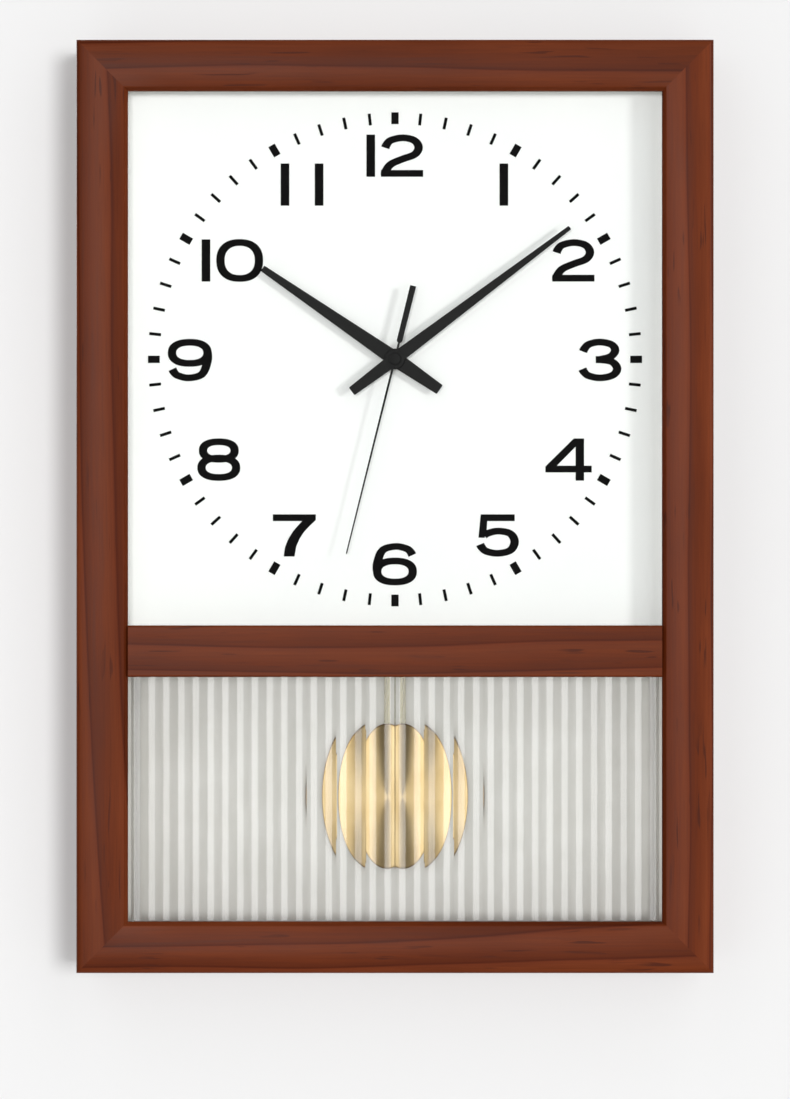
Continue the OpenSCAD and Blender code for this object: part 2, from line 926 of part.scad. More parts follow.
module along_x(x0, x1, y, z, r) {
    translate([x0, y, z])
        rotate([0, 90, 0])
            cylinder(r = r, h = x1 - x0);
}

module coil_bobbin() {
    y = layer_stator + stator_t / 2;
    color("ivory")
        at_dial() {
            along_x(coil_x[0] - 1, coil_x[1] + 1, y, coil_z, 1.1);
            along_x(coil_x[0], coil_x[0] + 0.8, y, coil_z, coil_r);
            along_x(coil_x[1] - 0.8, coil_x[1], y, coil_z, coil_r);
        }
}

module coil_winding() {
    y = layer_stator + stator_t / 2;
    color("chocolate")
        at_dial()
            difference() {
                along_x(coil_x[0] + 0.8, coil_x[1] - 0.8, y, coil_z, coil_r - 0.3);
                along_x(coil_x[0], coil_x[1], y, coil_z, 1.1);
            }
}

module circuit_board() {
    color("green")
        block([-24, train_front_y + 3, move_bottom + 4], [24, train_front_y + 4, pocket_bottom - 4]);
}

module battery() {
    color("goldenrod") {
        along_x(battery_x, battery_x + battery_len, battery_y, battery_z, battery_r);
        along_x(battery_x + battery_len, battery_x + battery_len + 1, battery_y, battery_z, 2.7);
    }
}

module battery_contact_positive() {
    x = battery_x + battery_len + 1;
    color("silver")
        block([x, battery_y - 4, battery_z - 5], [x + 0.5, battery_y + 5, battery_z + 5]);
}

// A plate and the coils of its conical spring, which stand in as three stepped rings
module battery_contact_negative() {
    x = 1.6 - move_half_w;
    gap = battery_x - x - 0.5;
    color("silver") {
        block([x, battery_y - 5, battery_z - 5], [x + 0.5, battery_y + 5, battery_z + 5]);
        for (i = [0 : 2])
            along_x(x + 0.5 + gap * i / 3, x + 0.5 + gap * (i + 1) / 3, battery_y, battery_z, 4.5 - i);
    }
}

module pendulum_coil() {
    color("chocolate")
        difference() {
            bar([0, pivot_z - magnet_drop], 7, train_rear_y - 4, train_rear_y);
            bar([0, pivot_z - magnet_drop], 2, train_rear_y - 5, train_rear_y + 1);
        }
}

module pendulum_pivot_pin() {
    color("silver")
        bar([0, pivot_z], pin_r, train_rear_y - 3, lever_rear_y + 0.4);
}

// ---- Movement: turning parts ----

// Angle of a gap that faces a tooth lying in direction dir, for a wheel on that tooth's far side
function facing(dir, teeth) = dir + 180 + 180 / teeth;

module hour_wheel() {
    color("whitesmoke")
        at_dial()
            difference() {
                union() {
                    wheel([0, 0], hour_wheel_teeth, work_module,
                        facing(work_dir + 180, hour_wheel_teeth), layer_hour, wheel_t);
                    bar([0, 0], hour_tube_r, hour_hand_y - tube_top, layer_hour + wheel_t);
                }
                bar([0, 0], hour_tube_bore, hour_hand_y - 2, layer_hour + wheel_t + 1);
            }
}

module minute_arbor() {
    color("gainsboro")
        at_dial()
            difference() {
                union() {
                    bar([0, 0], minute_tube_r, minute_hand_y - tube_top, layer_centre + wheel_t + 0.3);
                    wheel([0, 0], cannon_teeth, work_module, work_dir, layer_minute - pinion_extra,
                        wheel_t + 2 * pinion_extra);
                }
                bar([0, 0], minute_tube_bore, minute_hand_y - 2, layer_centre + wheel_t + 2);
            }
}

module minute_wheel() {
    color("whitesmoke")
        at_dial() {
            wheel(work_pos, minute_wheel_teeth, work_module, facing(work_dir, minute_wheel_teeth),
                layer_minute, wheel_t);
            wheel(work_pos, work_pinion_teeth, work_module, work_dir + 180, layer_hour - 0.1,
                layer_minute - layer_hour + 0.1);
            bar(work_pos, work_arbor_r, train_front_y - bearing_depth + 0.1, case_rear_y + 1.5);
        }
}

module setting_knob() {
    color("#333333")
        at_dial()
            difference() {
                union() {
                    bar(work_pos, 6, case_rear_y + 0.5, case_rear_y + 3);
                    for (i = [0 : 11])
                        bar(work_pos + polar(6, 30 * i), 0.7, case_rear_y + 0.5, case_rear_y + 3);
                }
                bar(work_pos, work_arbor_r, case_rear_y, case_rear_y + 1.5);
            }
}

module centre_wheel() {
    color("lightyellow")
        at_dial()
            difference() {
                wheel([0, 0], centre_teeth, centre_module, facing(third_dir + 180, centre_teeth),
                    layer_centre, wheel_t);
                bar([0, 0], minute_tube_r + 0.03, layer_centre - 1, layer_centre + 2);
            }
}

module third_wheel() {
    color("lightyellow")
        at_dial() {
            wheel(third_pos, third_teeth, third_module, facing(third_dir, third_teeth), layer_third, wheel_t);
            wheel(third_pos, leaf_teeth, centre_module, third_dir + 180, layer_centre - pinion_extra,
                layer_third - layer_centre + pinion_extra);
            bar(third_pos, arbor_r, train_front_y - bearing_depth + 0.1, train_rear_y + bearing_depth - 0.1);
        }
}

module second_arbor() {
    color("whitesmoke")
        at_dial() {
            wheel([0, 0], second_teeth, fast_module, facing(intermediate_dir + 180, second_teeth),
                layer_second, wheel_t);
            wheel([0, 0], leaf_teeth, third_module, third_dir, layer_third - pinion_extra,
                wheel_t + 2 * pinion_extra);
            bar([0, 0], second_arbor_r, second_hand_y - second_hand_t / 2, train_rear_y + bearing_depth - 0.1);
        }
}

module intermediate_wheel() {
    color("whitesmoke")
        at_dial() {
            wheel(intermediate_pos, intermediate_teeth, fast_module,
                facing(rotor_dir + 180, intermediate_teeth), layer_intermediate, wheel_t);
            wheel(intermediate_pos, leaf_teeth, fast_module, intermediate_dir + 180,
                layer_second - pinion_extra, layer_intermediate - layer_second + pinion_extra);
            bar(intermediate_pos, arbor_r, layer_plate + 0.1, train_rear_y + bearing_depth - 0.1);
        }
}

module rotor() {
    color("darkslategray")
        at_dial() {
            wheel(rotor_pos, rotor_teeth, fast_module, rotor_dir + 180,
                layer_intermediate - pinion_extra, wheel_t + 2 * pinion_extra);
            bar(rotor_pos, magnet_r, layer_stator - 0.4, layer_stator - 0.4 + magnet_t);
            bar(rotor_pos, arbor_r, layer_plate + 0.1, train_rear_y + bearing_depth - 0.1);
        }
}

// ---- Hands ----

// Straight-tapered hand: half-widths at the tail, hub and tip
module hand_outline(length, tail, half_tail, half_hub, half_tip, hub_r) {
    polygon([[-half_tail, -tail], [half_tail, -tail], [half_hub, 0], [half_tip, length],
        [-half_tip, length], [-half_hub, 0]]);
    circle(r = hub_r);
}

module hour_hand() {
    color("#1a1a1a")
        at_dial()
            difference() {
                slab(hour_hand_y - hand_t / 2, hour_hand_y + hand_t / 2)
                    rotate(-hour_angle)
                        hand_outline(hour_len, tail_len, 2.87, 4.1, 1.75, hour_hub_r);
                bar([0, 0], hour_tube_r, hour_hand_y - 2, hour_hand_y + 2);
            }
}

module hour_hand_collar() {
    color("#1a1a1a")
        at_dial()
            difference() {
                bar([0, 0], 3, hour_hand_y + hand_t / 2, hour_hand_y + hand_t / 2 + 1.1);
                bar([0, 0], hour_tube_r, hour_hand_y, hour_hand_y + 3);
            }
}

module minute_hand() {
    color("#1a1a1a")
        at_dial()
            difference() {
                slab(minute_hand_y - hand_t / 2, minute_hand_y + hand_t / 2)
                    rotate(-minute_angle)
                        hand_outline(minute_len, tail_len, 2.55, 3.5, 1.15, minute_hub_r);
                bar([0, 0], minute_tube_r, minute_hand_y - 2, minute_hand_y + 2);
            }
}

module minute_hand_collar() {
    color("#1a1a1a")
        at_dial()
            difference() {
                bar([0, 0], 2.2, minute_hand_y + hand_t / 2, minute_hand_y + hand_t / 2 + 0.6);
                bar([0, 0], minute_tube_r, minute_hand_y, minute_hand_y + 2);
            }
}

module second_hand() {
    y0 = second_hand_y - second_hand_t / 2;
    color("#1a1a1a")
        at_dial()
            difference() {
                slab(y0, y0 + second_hand_t)
                    rotate(-second_angle) {
                        polygon([[-0.65, -9.2], [-1.5, -10.4], [-1.65, -second_tail],
                            [1.65, -second_tail], [1.5, -10.4], [0.65, -9.2], [0.6, 0],
                            [0.45, second_len], [-0.45, second_len], [-0.6, 0]]);
                        circle(r = cap_r - 0.3);
                    }
                bar([0, 0], second_arbor_r, y0 - 1, y0 + 1);
            }
}

module second_hand_cap() {
    y0 = second_hand_y - second_hand_t / 2;
    color("#1a1a1a")
        at_dial()
            bar([0, 0], cap_r, y0 - 0.6, y0);
}

// ---- Pendulum ----

module pendulum_lever() {
    color("ivory")
        difference() {
            union() {
                bar([0, pivot_z], 4, lever_front_y, lever_rear_y);
                block([-2.6, lever_front_y, pivot_z - magnet_drop], [2.6, lever_rear_y, pivot_z]);
                bar([0, pivot_z - magnet_drop], lever_magnet_r + 1.4, lever_front_y, lever_rear_y);
                bar([0, pivot_z - peg_drop], peg_r, lever_rear_y - eps, rod_rear_y + 0.6);
            }
            bar([0, pivot_z], pin_r + pin_play, lever_front_y - 1, lever_rear_y + 1);
            bar([0, pivot_z - magnet_drop], lever_magnet_r, lever_front_y - 1, lever_front_y + 2);
        }
}

module pendulum_magnet() {
    color("gray")
        bar([0, pivot_z - magnet_drop], lever_magnet_r, lever_front_y, lever_front_y + 2);
}

module pendulum_rod() {
    color("darkkhaki")
        difference() {
            block([-rod_w / 2, rod_front_y, bob_z - 12], [rod_w / 2, rod_rear_y, pivot_z - peg_drop + 4]);
            bar([0, pivot_z - peg_drop], peg_r + 0.02, rod_front_y - 1, rod_rear_y + 1);
        }
}

// A dished disc: a shallow dome in front, with a flat rear face
module pendulum_bob() {
    rise = rod_front_y - bob_rim_t - bob_front_y;
    dome_r = (bob_r * bob_r + rise * rise) / (2 * rise);
    half_angle = asin(bob_r / dome_r);
    centre = [0, rise + bob_rim_t - dome_r];
    color("goldenrod")
        translate([0, rod_front_y, bob_z])
            rotate([90, 0, 0])
                rotate_extrude($fn = 128)
                    polygon(concat([[0, 0], [bob_r, 0]], arc(centre, dome_r, 90 - half_angle, 90, 10)));
}

module bob_clip() {
    half = rod_w / 2 + 4;
    color("goldenrod")
        difference() {
            block([-half, rod_front_y, bob_z - 6], [half, rod_rear_y + clip_t, bob_z + 6]);
            block([-rod_w / 2, rod_front_y - 1, bob_z - 7], [rod_w / 2, rod_rear_y, bob_z + 7]);
        }
}

top_rail();
bottom_rail();
left_stile();
right_stile();
mid_rail();
mid_rail_dowels();
corner_nails();
dial_glass();
dial_spacers();
dial_board();
dial_beads();
dial_print();
fluted_glass();
window_beads();
lining_card();
back_board();
back_board_screws();
hanger_plate();
hanger_screws();
felt_pads();
rubber_gasket();
movement_front_cover();
movement_rear_cover();
centre_bushing();
fixing_washer();
fixing_nut();
train_plate();
stator();
coil_bobbin();
coil_winding();
circuit_board();
battery();
battery_contact_positive();
battery_contact_negative();
pendulum_coil();
pendulum_pivot_pin();
hour_wheel();
hour_hand();
hour_hand_collar();
minute_arbor();
minute_hand();
minute_hand_collar();
minute_wheel();
setting_knob();
centre_wheel();
third_wheel();
second_arbor();
second_hand();
second_hand_cap();
intermediate_wheel();
rotor();
pendulum_lever();
pendulum_magnet();
pendulum_rod();
pendulum_bob();
bob_clip();
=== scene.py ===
"""Pendulum wall clock in a stained wooden case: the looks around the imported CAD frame."""
import math
import random

import bmesh
import bpy
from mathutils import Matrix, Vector


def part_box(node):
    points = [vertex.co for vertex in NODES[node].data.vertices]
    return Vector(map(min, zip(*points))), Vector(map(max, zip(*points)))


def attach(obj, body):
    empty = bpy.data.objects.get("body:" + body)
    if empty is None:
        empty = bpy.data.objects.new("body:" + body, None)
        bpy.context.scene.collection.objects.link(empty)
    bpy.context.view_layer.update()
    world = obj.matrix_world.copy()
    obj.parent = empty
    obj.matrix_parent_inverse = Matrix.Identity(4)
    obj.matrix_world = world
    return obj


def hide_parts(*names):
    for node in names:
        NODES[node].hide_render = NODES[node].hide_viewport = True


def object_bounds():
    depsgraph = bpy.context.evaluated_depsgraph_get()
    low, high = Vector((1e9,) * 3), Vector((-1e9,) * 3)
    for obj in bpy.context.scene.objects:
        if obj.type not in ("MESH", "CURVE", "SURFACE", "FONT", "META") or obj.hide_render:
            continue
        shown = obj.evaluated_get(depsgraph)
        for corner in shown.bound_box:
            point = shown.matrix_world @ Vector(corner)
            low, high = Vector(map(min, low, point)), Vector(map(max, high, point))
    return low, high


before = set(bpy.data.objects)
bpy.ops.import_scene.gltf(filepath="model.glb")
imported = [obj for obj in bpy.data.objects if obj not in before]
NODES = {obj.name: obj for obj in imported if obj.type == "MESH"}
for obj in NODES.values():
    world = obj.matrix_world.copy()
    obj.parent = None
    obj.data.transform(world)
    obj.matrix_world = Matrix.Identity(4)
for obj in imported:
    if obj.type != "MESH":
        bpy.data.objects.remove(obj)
CAD_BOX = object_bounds()
SCENE = bpy.context.scene
MM = 0.001

# Case section, in millimetres: across is measured inwards from the outer edge
FACE_WIDTH = 27.5
WALL_WIDTH = 20.0
LIP_DEPTH = 4.5
INNER_CHAMFER = 2.0
OUTER_RADIUS = 2.5
OUTER_BAND = 10.5
OUTER_DROP = 0.5
REBATE_DEPTH = 5.0
SIDE_REBATE = 8.0
TOP_REBATE = 3.0
HALF_WEB = 4.5
MOULDING_STEPS = 9
CASE_ANGLE = 24.0

# Fluted pane, in millimetres: hollow flutes with a narrow land between them
FLUTE_PITCH = 15.64
FLUTE_RADIUS = 17.0
FLUTE_LAND = 0.5
FLUTE_STEPS = 28

# Hands: angle clockwise from twelve, then the outline of each in millimetres
HOUR_ANGLE = 304.4
MINUTE_ANGLE = 53.1
SECOND_ANGLE = 194.0
TAIL_LENGTH = 29.0
HOUR_LENGTH = 86.0
MINUTE_LENGTH = 117.0
HALF_NEEDLE = [
    (0.12, 107.6), (0.34, 107.3), (0.62, 0.0), (0.55, -8.8), (1.1, -9.2), (1.5, -9.9),
    (1.65, -40.2),
]

# Camera, in millimetres
CAMERA_LENS = 135.0
CAMERA_SENSOR = 36.0
VIEW_HEIGHT = 585.6
VIEW_CENTRE_Z = -262.0

# Lights: the side that each sun comes from, its softness in degrees and its strength
KEY_SUN = ((1.2, -1.0, 0.12), 9.0, 1.22)
FILL_SUN = ((-0.10, -1.0, 0.05), 14.0, 1.25)
WALL_SUN = ((0.27, -1.0, 0.04), 13.0, 2.25)
CARD_SUN = ((0.0, -1.0, 0.03), 10.0, 1.30)
# Strips either side of the camera: brightness, degrees from its direction, width and height
GLASS_STRIPS = (4.3, 26.5, (0.80, 1.7))
BRASS_STRIPS = (1.35, 25.0, (1.05, 2.5))
STRIP_DISTANCE = 2.0
STRIP_HEIGHT = -0.39
REAR_POWER = 60.0
STAGE_GREY = (0.50, 0.50, 0.50, 1)
STAGE_GLOW = 0.285
STAGE_REACH = 3.0
STAGE_TOP = 2.4
FLOOR_DROP = 1.1
WALL_GAP = 0.0003
WORLD_STRENGTH = 1.12
BACKDROP_LEVEL = 0.80
SIDE_BALANCE = 0.12
# Brightness of the studio by degrees sideways from the camera's direction
WORLD_BANDS = [
    (0, 0.02), (11, 0.02), (16, 1.0), (41, 1.0), (48, 0.25), (100, 0.25), (140, 0.4), (180, 0.4),
]


# ---------------------------------------------------------------- shader tools

def srgb(red, green, blue):
    """A linear colour from 8-bit display values."""
    def linear(value):
        value = value / 255.0
        return value / 12.92 if value <= 0.04045 else ((value + 0.055) / 1.055) ** 2.4
    return (linear(red), linear(green), linear(blue), 1.0)


class Shader:
    """A material's node tree with short calls to add and join nodes."""

    def __init__(self, name, roughness=0.5, metallic=0.0, **sockets):
        self.material = bpy.data.materials.new(name)
        self.material.use_nodes = True
        self.tree = self.material.node_tree
        self.surface = self.tree.nodes["Principled BSDF"]
        self.output = self.tree.nodes["Material Output"]
        self.surface.inputs["Roughness"].default_value = roughness
        self.surface.inputs["Metallic"].default_value = metallic
        for label, value in sockets.items():
            self.surface.inputs[label.replace("_", " ")].default_value = value
        self.place = self.node("ShaderNodeTexCoord").outputs["Object"]

    def node(self, kind, inputs=None, **settings):
        made = self.tree.nodes.new(kind)
        for label, value in settings.items():
            setattr(made, label, value)
        for label, value in (inputs or {}).items():
            self.feed(made.inputs[label], value)
        return made

    def feed(self, socket, value):
        if isinstance(value, bpy.types.NodeSocket):
            self.tree.links.new(value, socket)
        else:
            socket.default_value = value

    def mapped(self, scale, offset=(0, 0, 0), turn=(0, 0, 0)):
        """Object coordinates, scaled, shifted and turned."""
        return self.node("ShaderNodeMapping", {
            "Vector": self.place, "Scale": scale, "Location": offset, "Rotation": turn,
        }).outputs["Vector"]

    def noise(self, vector, scale, detail=3.0, rough=0.55):
        return self.node("ShaderNodeTexNoise", {
            "Vector": vector, "Scale": scale, "Detail": detail, "Roughness": rough,
        }).outputs["Fac"]

    def ramp(self, factor, stops):
        """A colour ramp from (position, colour) stops."""
        made = self.node("ShaderNodeValToRGB", {"Fac": factor})
        band = made.color_ramp
        while len(band.elements) < len(stops):
            band.elements.new(0.5)
        for element, (position, colour) in zip(band.elements, stops):
            element.position = position
            element.color = colour
        return made.outputs["Color"]

    def remap(self, value, low, high, to_low, to_high):
        return self.node("ShaderNodeMapRange", {
            "Value": value, "From Min": low, "From Max": high,
            "To Min": to_low, "To Max": to_high,
        }).outputs["Result"]

    def mix(self, factor, first, second, blend="MIX"):
        made = self.node("ShaderNodeMix", data_type="RGBA", blend_type=blend)
        self.feed(made.inputs[0], factor)
        self.feed(made.inputs[6], first)
        self.feed(made.inputs[7], second)
        return made.outputs[2]

    def sum(self, first, second, operation="ADD"):
        made = self.node("ShaderNodeMath", operation=operation)
        self.feed(made.inputs[0], first)
        self.feed(made.inputs[1], second)
        return made.outputs[0]

    def bump(self, height, depth, strength=1.0):
        return self.node("ShaderNodeBump", {
            "Height": height, "Distance": depth, "Strength": strength,
        }).outputs["Normal"]

    def set(self, label, value):
        self.feed(self.surface.inputs[label], value)

    def vector_maths(self, operation, *values):
        return self.node("ShaderNodeVectorMath", dict(enumerate(values)), operation=operation)


def along_axis(axis, factor):
    """A scale of 1 on every axis but one."""
    return [factor if i == axis else 1.0 for i in range(3)]


def mottled(name, colours, scale, roughness, bump_depth, fine, **sockets):
    """A finish with cloudy colour and a fine texture. bump_depth is in millimetres."""
    make = Shader(name, **sockets)
    place = make.mapped((1, 1, 1))
    cloud = make.noise(place, scale)
    grain = make.noise(place, fine, 4.0, 0.6)
    make.set("Base Color", make.ramp(cloud, [(0.3, colours[0]), (0.7, colours[1])]))
    make.set("Roughness", make.remap(grain, 0.3, 0.7, *roughness))
    make.set("Normal", make.bump(grain, bump_depth * MM))
    return make.material


# ---------------------------------------------------------------- materials

WOOD_RING = [
    (0.0, (70, 24, 6)), (0.08, (83, 33, 10)), (0.35, (90, 37, 12)),
    (0.80, (100, 45, 20)), (0.95, (97, 42, 18)), (1.0, (80, 31, 10)),
]


def wood(name, along, seed, ring=14.0, tone=1.0):
    """Stained, lacquered wood.

    along is the grain's axis, 0 for X and 2 for Z. ring is the growth rings' spacing in mm.
    """
    make = Shader(name, Specular_IOR_Level=0.06, Coat_Weight=0.03, Coat_Roughness=0.25,
                  Coat_IOR=1.45)
    draw = random.Random(seed)
    shift = [draw.uniform(-40, 40) for _ in range(3)]
    slant = draw.uniform(-0.3, 0.3)
    bands = make.node("ShaderNodeTexWave", {
        "Vector": make.mapped(along_axis(along, 0.13), shift, (0, slant, 0)),
        "Scale": 0.314 / (ring * MM), "Distortion": 4.2, "Detail": 2.0,
        "Detail Scale": 1.1, "Detail Roughness": 0.4, "Phase Offset": draw.uniform(0, 6),
    }, wave_type="BANDS", wave_profile="SAW", bands_direction="Z" if along == 0 else "X")
    colour = make.ramp(bands.outputs["Fac"], [
        (position, srgb(*[level * tone for level in levels])) for position, levels in WOOD_RING
    ])
    fibre = make.noise(make.mapped(along_axis(along, 0.03), shift), 700.0, 4.0, 0.65)
    cloud = make.noise(make.mapped(along_axis(along, 0.35), shift), 30.0, 2.0)
    for factor, dark, light in (
        (fibre, (0.25, (0.80, 0.77, 0.75, 1)), (0.75, (1.13, 1.14, 1.15, 1))),
        (cloud, (0.3, (0.90, 0.88, 0.88, 1)), (0.72, (1.12, 1.14, 1.15, 1))),
    ):
        colour = make.mix(1.0, colour, make.ramp(factor, [dark, light]), "MULTIPLY")
    pores = make.noise(make.mapped(along_axis(along, 0.075), shift), 520.0, 1.0, 0.4)
    patches = make.noise(make.mapped(along_axis(along, 0.5), shift), 55.0, 1.0)
    pore_mask = make.sum(
        make.remap(pores, 0.655, 0.70, 0.0, 1.0),
        make.remap(patches, 0.45, 0.62, 0.0, 1.0), "MULTIPLY")
    pore_share = make.sum(pore_mask, 0.7, "MULTIPLY")
    make.set("Base Color", make.mix(pore_share, colour, srgb(62, 26, 16)))
    make.set("Roughness", make.remap(fibre, 0.3, 0.7, 0.40, 0.54))
    height = make.sum(make.sum(fibre, 0.35, "MULTIPLY"), pore_mask, "SUBTRACT")
    make.set("Normal", make.bump(height, 0.05 * MM, 0.6))
    return make.material


def glass(name, tint, ripple_scale, ripple_depth):
    """Clear glass. Shadow and reflection rays go straight through, so no light counts twice."""
    make = Shader(name, roughness=0.0, Base_Color=tint, IOR=1.5, Transmission_Weight=1.0)
    ripple = make.noise(make.mapped((1, 1, 0.25)), ripple_scale, 1.0, 0.4)
    make.set("Normal", make.bump(ripple, ripple_depth * MM))
    open_air = make.node("ShaderNodeBsdfTransparent", {"Color": (0.96, 0.965, 0.96, 1)})
    path = make.node("ShaderNodeLightPath")
    straight = make.sum(path.outputs["Is Reflection Ray"], path.outputs["Is Shadow Ray"], "MAXIMUM")
    both = make.node("ShaderNodeMixShader", {
        0: straight, 1: make.surface.outputs["BSDF"], 2: open_air.outputs["BSDF"],
    })
    make.tree.links.new(both.outputs[0], make.output.inputs["Surface"])
    return make.material


def brushed_disc(name):
    """Brass turned on a lathe: fine rings that stretch each highlight along the radius."""
    make = Shader(name, metallic=1.0, Anisotropic=0.8, Anisotropic_Rotation=0.25)
    low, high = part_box("pendulum_bob")
    centre = (low + high) / 2
    offset = make.vector_maths("ADD", make.place, tuple(-centre)).outputs[0]
    flat = make.vector_maths("MULTIPLY", offset, (1, 0, 1)).outputs[0]
    radius = make.vector_maths("LENGTH", flat).outputs["Value"]
    turned = make.node("ShaderNodeCombineXYZ", {"X": radius}).outputs[0]
    rings = make.noise(turned, 2600.0, 4.0, 0.7)
    cloud = make.noise(make.place, 38.0, 2.0)
    blend = make.sum(make.sum(rings, 0.5, "MULTIPLY"), make.sum(cloud, 0.5, "MULTIPLY"))
    colour = make.ramp(blend, [
        (0.35, srgb(212, 180, 126)), (0.65, srgb(238, 212, 164)),
    ])
    edge = (high.x - low.x) / 2
    # Painted shade: the outer rim fades to a darker brown, which stands in for the shade that falls
    # on the rounded rim.
    painted_rim_shade = make.remap(radius, edge - 0.9 * MM, edge - 0.3 * MM, 0.0, 0.8)
    make.set("Base Color", make.mix(painted_rim_shade, colour, srgb(124, 86, 46)))
    make.set("Roughness", make.remap(rings, 0.3, 0.7, 0.26, 0.36))
    around = make.node("ShaderNodeTangent", direction_type="RADIAL", axis="Y")
    make.set("Tangent", around.outputs[0])
    make.set("Normal", make.bump(rings, 0.004 * MM))
    return make.material


def brushed_metal(name, colours, roughness, along):
    """Metal with fine drawn lines along one axis."""
    make = Shader(name, metallic=1.0)
    lines = make.noise(make.mapped(along_axis(along, 0.02)), 4200.0, 3.0, 0.6)
    cloud = make.noise(make.place, 60.0, 2.0)
    make.set("Base Color", make.ramp(cloud, [(0.3, colours[0]), (0.7, colours[1])]))
    make.set("Roughness", make.remap(lines, 0.3, 0.7, *roughness))
    make.set("Normal", make.bump(lines, 0.006 * MM))
    return make.material


def wound_wire(name, axis, pitch):
    """Enamelled copper wire in close turns along an axis."""
    make = Shader(name, roughness=0.32, metallic=0.9, Coat_Weight=0.6)
    turns = make.node("ShaderNodeTexWave", {
        "Vector": make.place, "Scale": 0.314 / (pitch * MM), "Distortion": 0.4, "Detail": 1.0,
    }, wave_type="BANDS", wave_profile="SIN", bands_direction="XYZ"[axis]).outputs["Fac"]
    # Painted shade and highlight: the copper darkens in the grooves between turns and brightens on
    # their crests.
    make.set("Base Color", make.ramp(turns, [(0.1, srgb(92, 38, 18)), (0.7, srgb(196, 104, 58))]))
    make.set("Normal", make.bump(turns, 0.1 * MM))
    return make.material


def battery_wrap(name):
    """Printed film jacket with plain bands and no lettering."""
    make = Shader(name, roughness=0.28, Coat_Weight=0.5)
    low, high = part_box("battery")
    across = make.node("ShaderNodeSeparateXYZ", {0: make.place}).outputs["X"]
    share = make.remap(across, low.x, high.x, 0.0, 1.0)
    bands = make.ramp(share, [
        (0.0, srgb(150, 150, 152)), (0.035, srgb(26, 26, 28)), (0.70, srgb(26, 26, 28)),
        (0.71, srgb(196, 150, 62)), (0.93, srgb(196, 150, 62)), (0.955, srgb(170, 170, 172)),
    ])
    scuff = make.noise(make.mapped((0.2, 1, 1)), 900.0, 3.0, 0.6)
    scuffed = make.remap(scuff, 0.62, 0.75, 0.0, 0.25)
    make.set("Base Color", make.mix(scuffed, bands, (0.5, 0.5, 0.5, 1)))
    make.set("Roughness", make.remap(scuff, 0.3, 0.7, 0.22, 0.4))
    make.set("Normal", make.bump(scuff, 0.01 * MM))
    return make.material


# Slot: two colours, cloud scale, roughness range, bump depth, fine scale and other sockets
MOTTLED = {
    "fibreboard": ((116, 86, 60), (142, 110, 80), 260.0, (0.62, 0.8), 0.08, 1700.0, {}),
    "dial_white": ((250, 250, 250), (253, 253, 252), 14.0, (0.5, 0.6), 0.006, 2400.0, {}),
    "print_black": ((10, 10, 10), (16, 15, 15), 120.0, (0.5, 0.6), 0.004, 2600.0,
                    {"Specular_IOR_Level": 0.02}),
    "hand_black": ((9, 8, 8), (13, 12, 12), 90.0, (0.40, 0.52), 0.01, 4200.0,
                   {"Specular_IOR_Level": 0.12}),
    "card_white": ((228, 226, 220), (238, 236, 231), 40.0, (0.8, 0.9), 0.02, 1500.0, {}),
    "black_plastic": ((25, 25, 26), (34, 34, 35), 120.0, (0.42, 0.56), 0.02, 5200.0, {}),
    "white_plastic": ((216, 214, 206), (230, 228, 221), 120.0, (0.36, 0.48), 0.02, 5200.0, {}),
    "board_green": ((24, 84, 52), (34, 104, 66), 300.0, (0.3, 0.45), 0.02, 3000.0, {}),
    "rubber": ((30, 30, 30), (40, 39, 38), 240.0, (0.72, 0.86), 0.03, 3200.0, {}),
    "felt": ((62, 44, 32), (92, 68, 50), 900.0, (0.9, 1.0), 0.25, 3600.0, {"Sheen_Weight": 0.5}),
    "magnet": ((54, 52, 52), (74, 72, 71), 420.0, (0.4, 0.6), 0.02, 3600.0, {"metallic": 0.6}),
}

# Slot or member: the grain's axis, seed, ring spacing and tone
WOODS = {
    "wood_top": (0, 3, 15.0, 0.97),
    "wood_bottom": (0, 8, 13.0, 1.02),
    "wood_left": (2, 5, 17.0, 1.0),
    "wood_right": (2, 11, 15.0, 1.06),
    "wood_middle": (0, 21, 14.0, 1.0),
    "bead_wood": (0, 31, 6.0, 1.25),
}

# Slot: two colours, roughness range and the drawn lines' axis
BRUSHED = {
    "rod_brass": ((186, 176, 140), (206, 198, 164), (0.22, 0.34), 2),
    "bright_brass": ((200, 162, 96), (226, 192, 126), (0.2, 0.34), 0),
    "steel": ((150, 152, 155), (182, 184, 187), (0.24, 0.4), 0),
}


def build_materials():
    """One procedural finish for each material slot of the record, and one wood for each member."""
    finish = {name: wood(name, *values) for name, values in WOODS.items()}
    for name, (dark, light, scale, roughness, depth, fine, sockets) in MOTTLED.items():
        colours = (srgb(*dark), srgb(*light))
        finish[name] = mottled(name, colours, scale, roughness, depth, fine, **sockets)
    for name, (dark, light, roughness, along) in BRUSHED.items():
        finish[name] = brushed_metal(name, (srgb(*dark), srgb(*light)), roughness, along)
    finish["clear_glass"] = glass("clear_glass", (0.97, 0.985, 0.975, 1), 9.0, 0.0004)
    finish["fluted_glass"] = glass("fluted_glass", (0.975, 0.985, 0.98, 1), 60.0, 0.012)
    finish["bob_brass"] = brushed_disc("bob_brass")
    finish["copper"] = wound_wire("copper", 0, 0.3)
    finish["battery_jacket"] = battery_wrap("battery_jacket")
    return finish


# ---------------------------------------------------------------- mesh tools

def add_object(name, maker):
    """Put a bmesh in the scene as an object."""
    mesh = bpy.data.meshes.new(name)
    maker.to_mesh(mesh)
    maker.free()
    made = bpy.data.objects.new(name, mesh)
    SCENE.collection.objects.link(made)
    return made


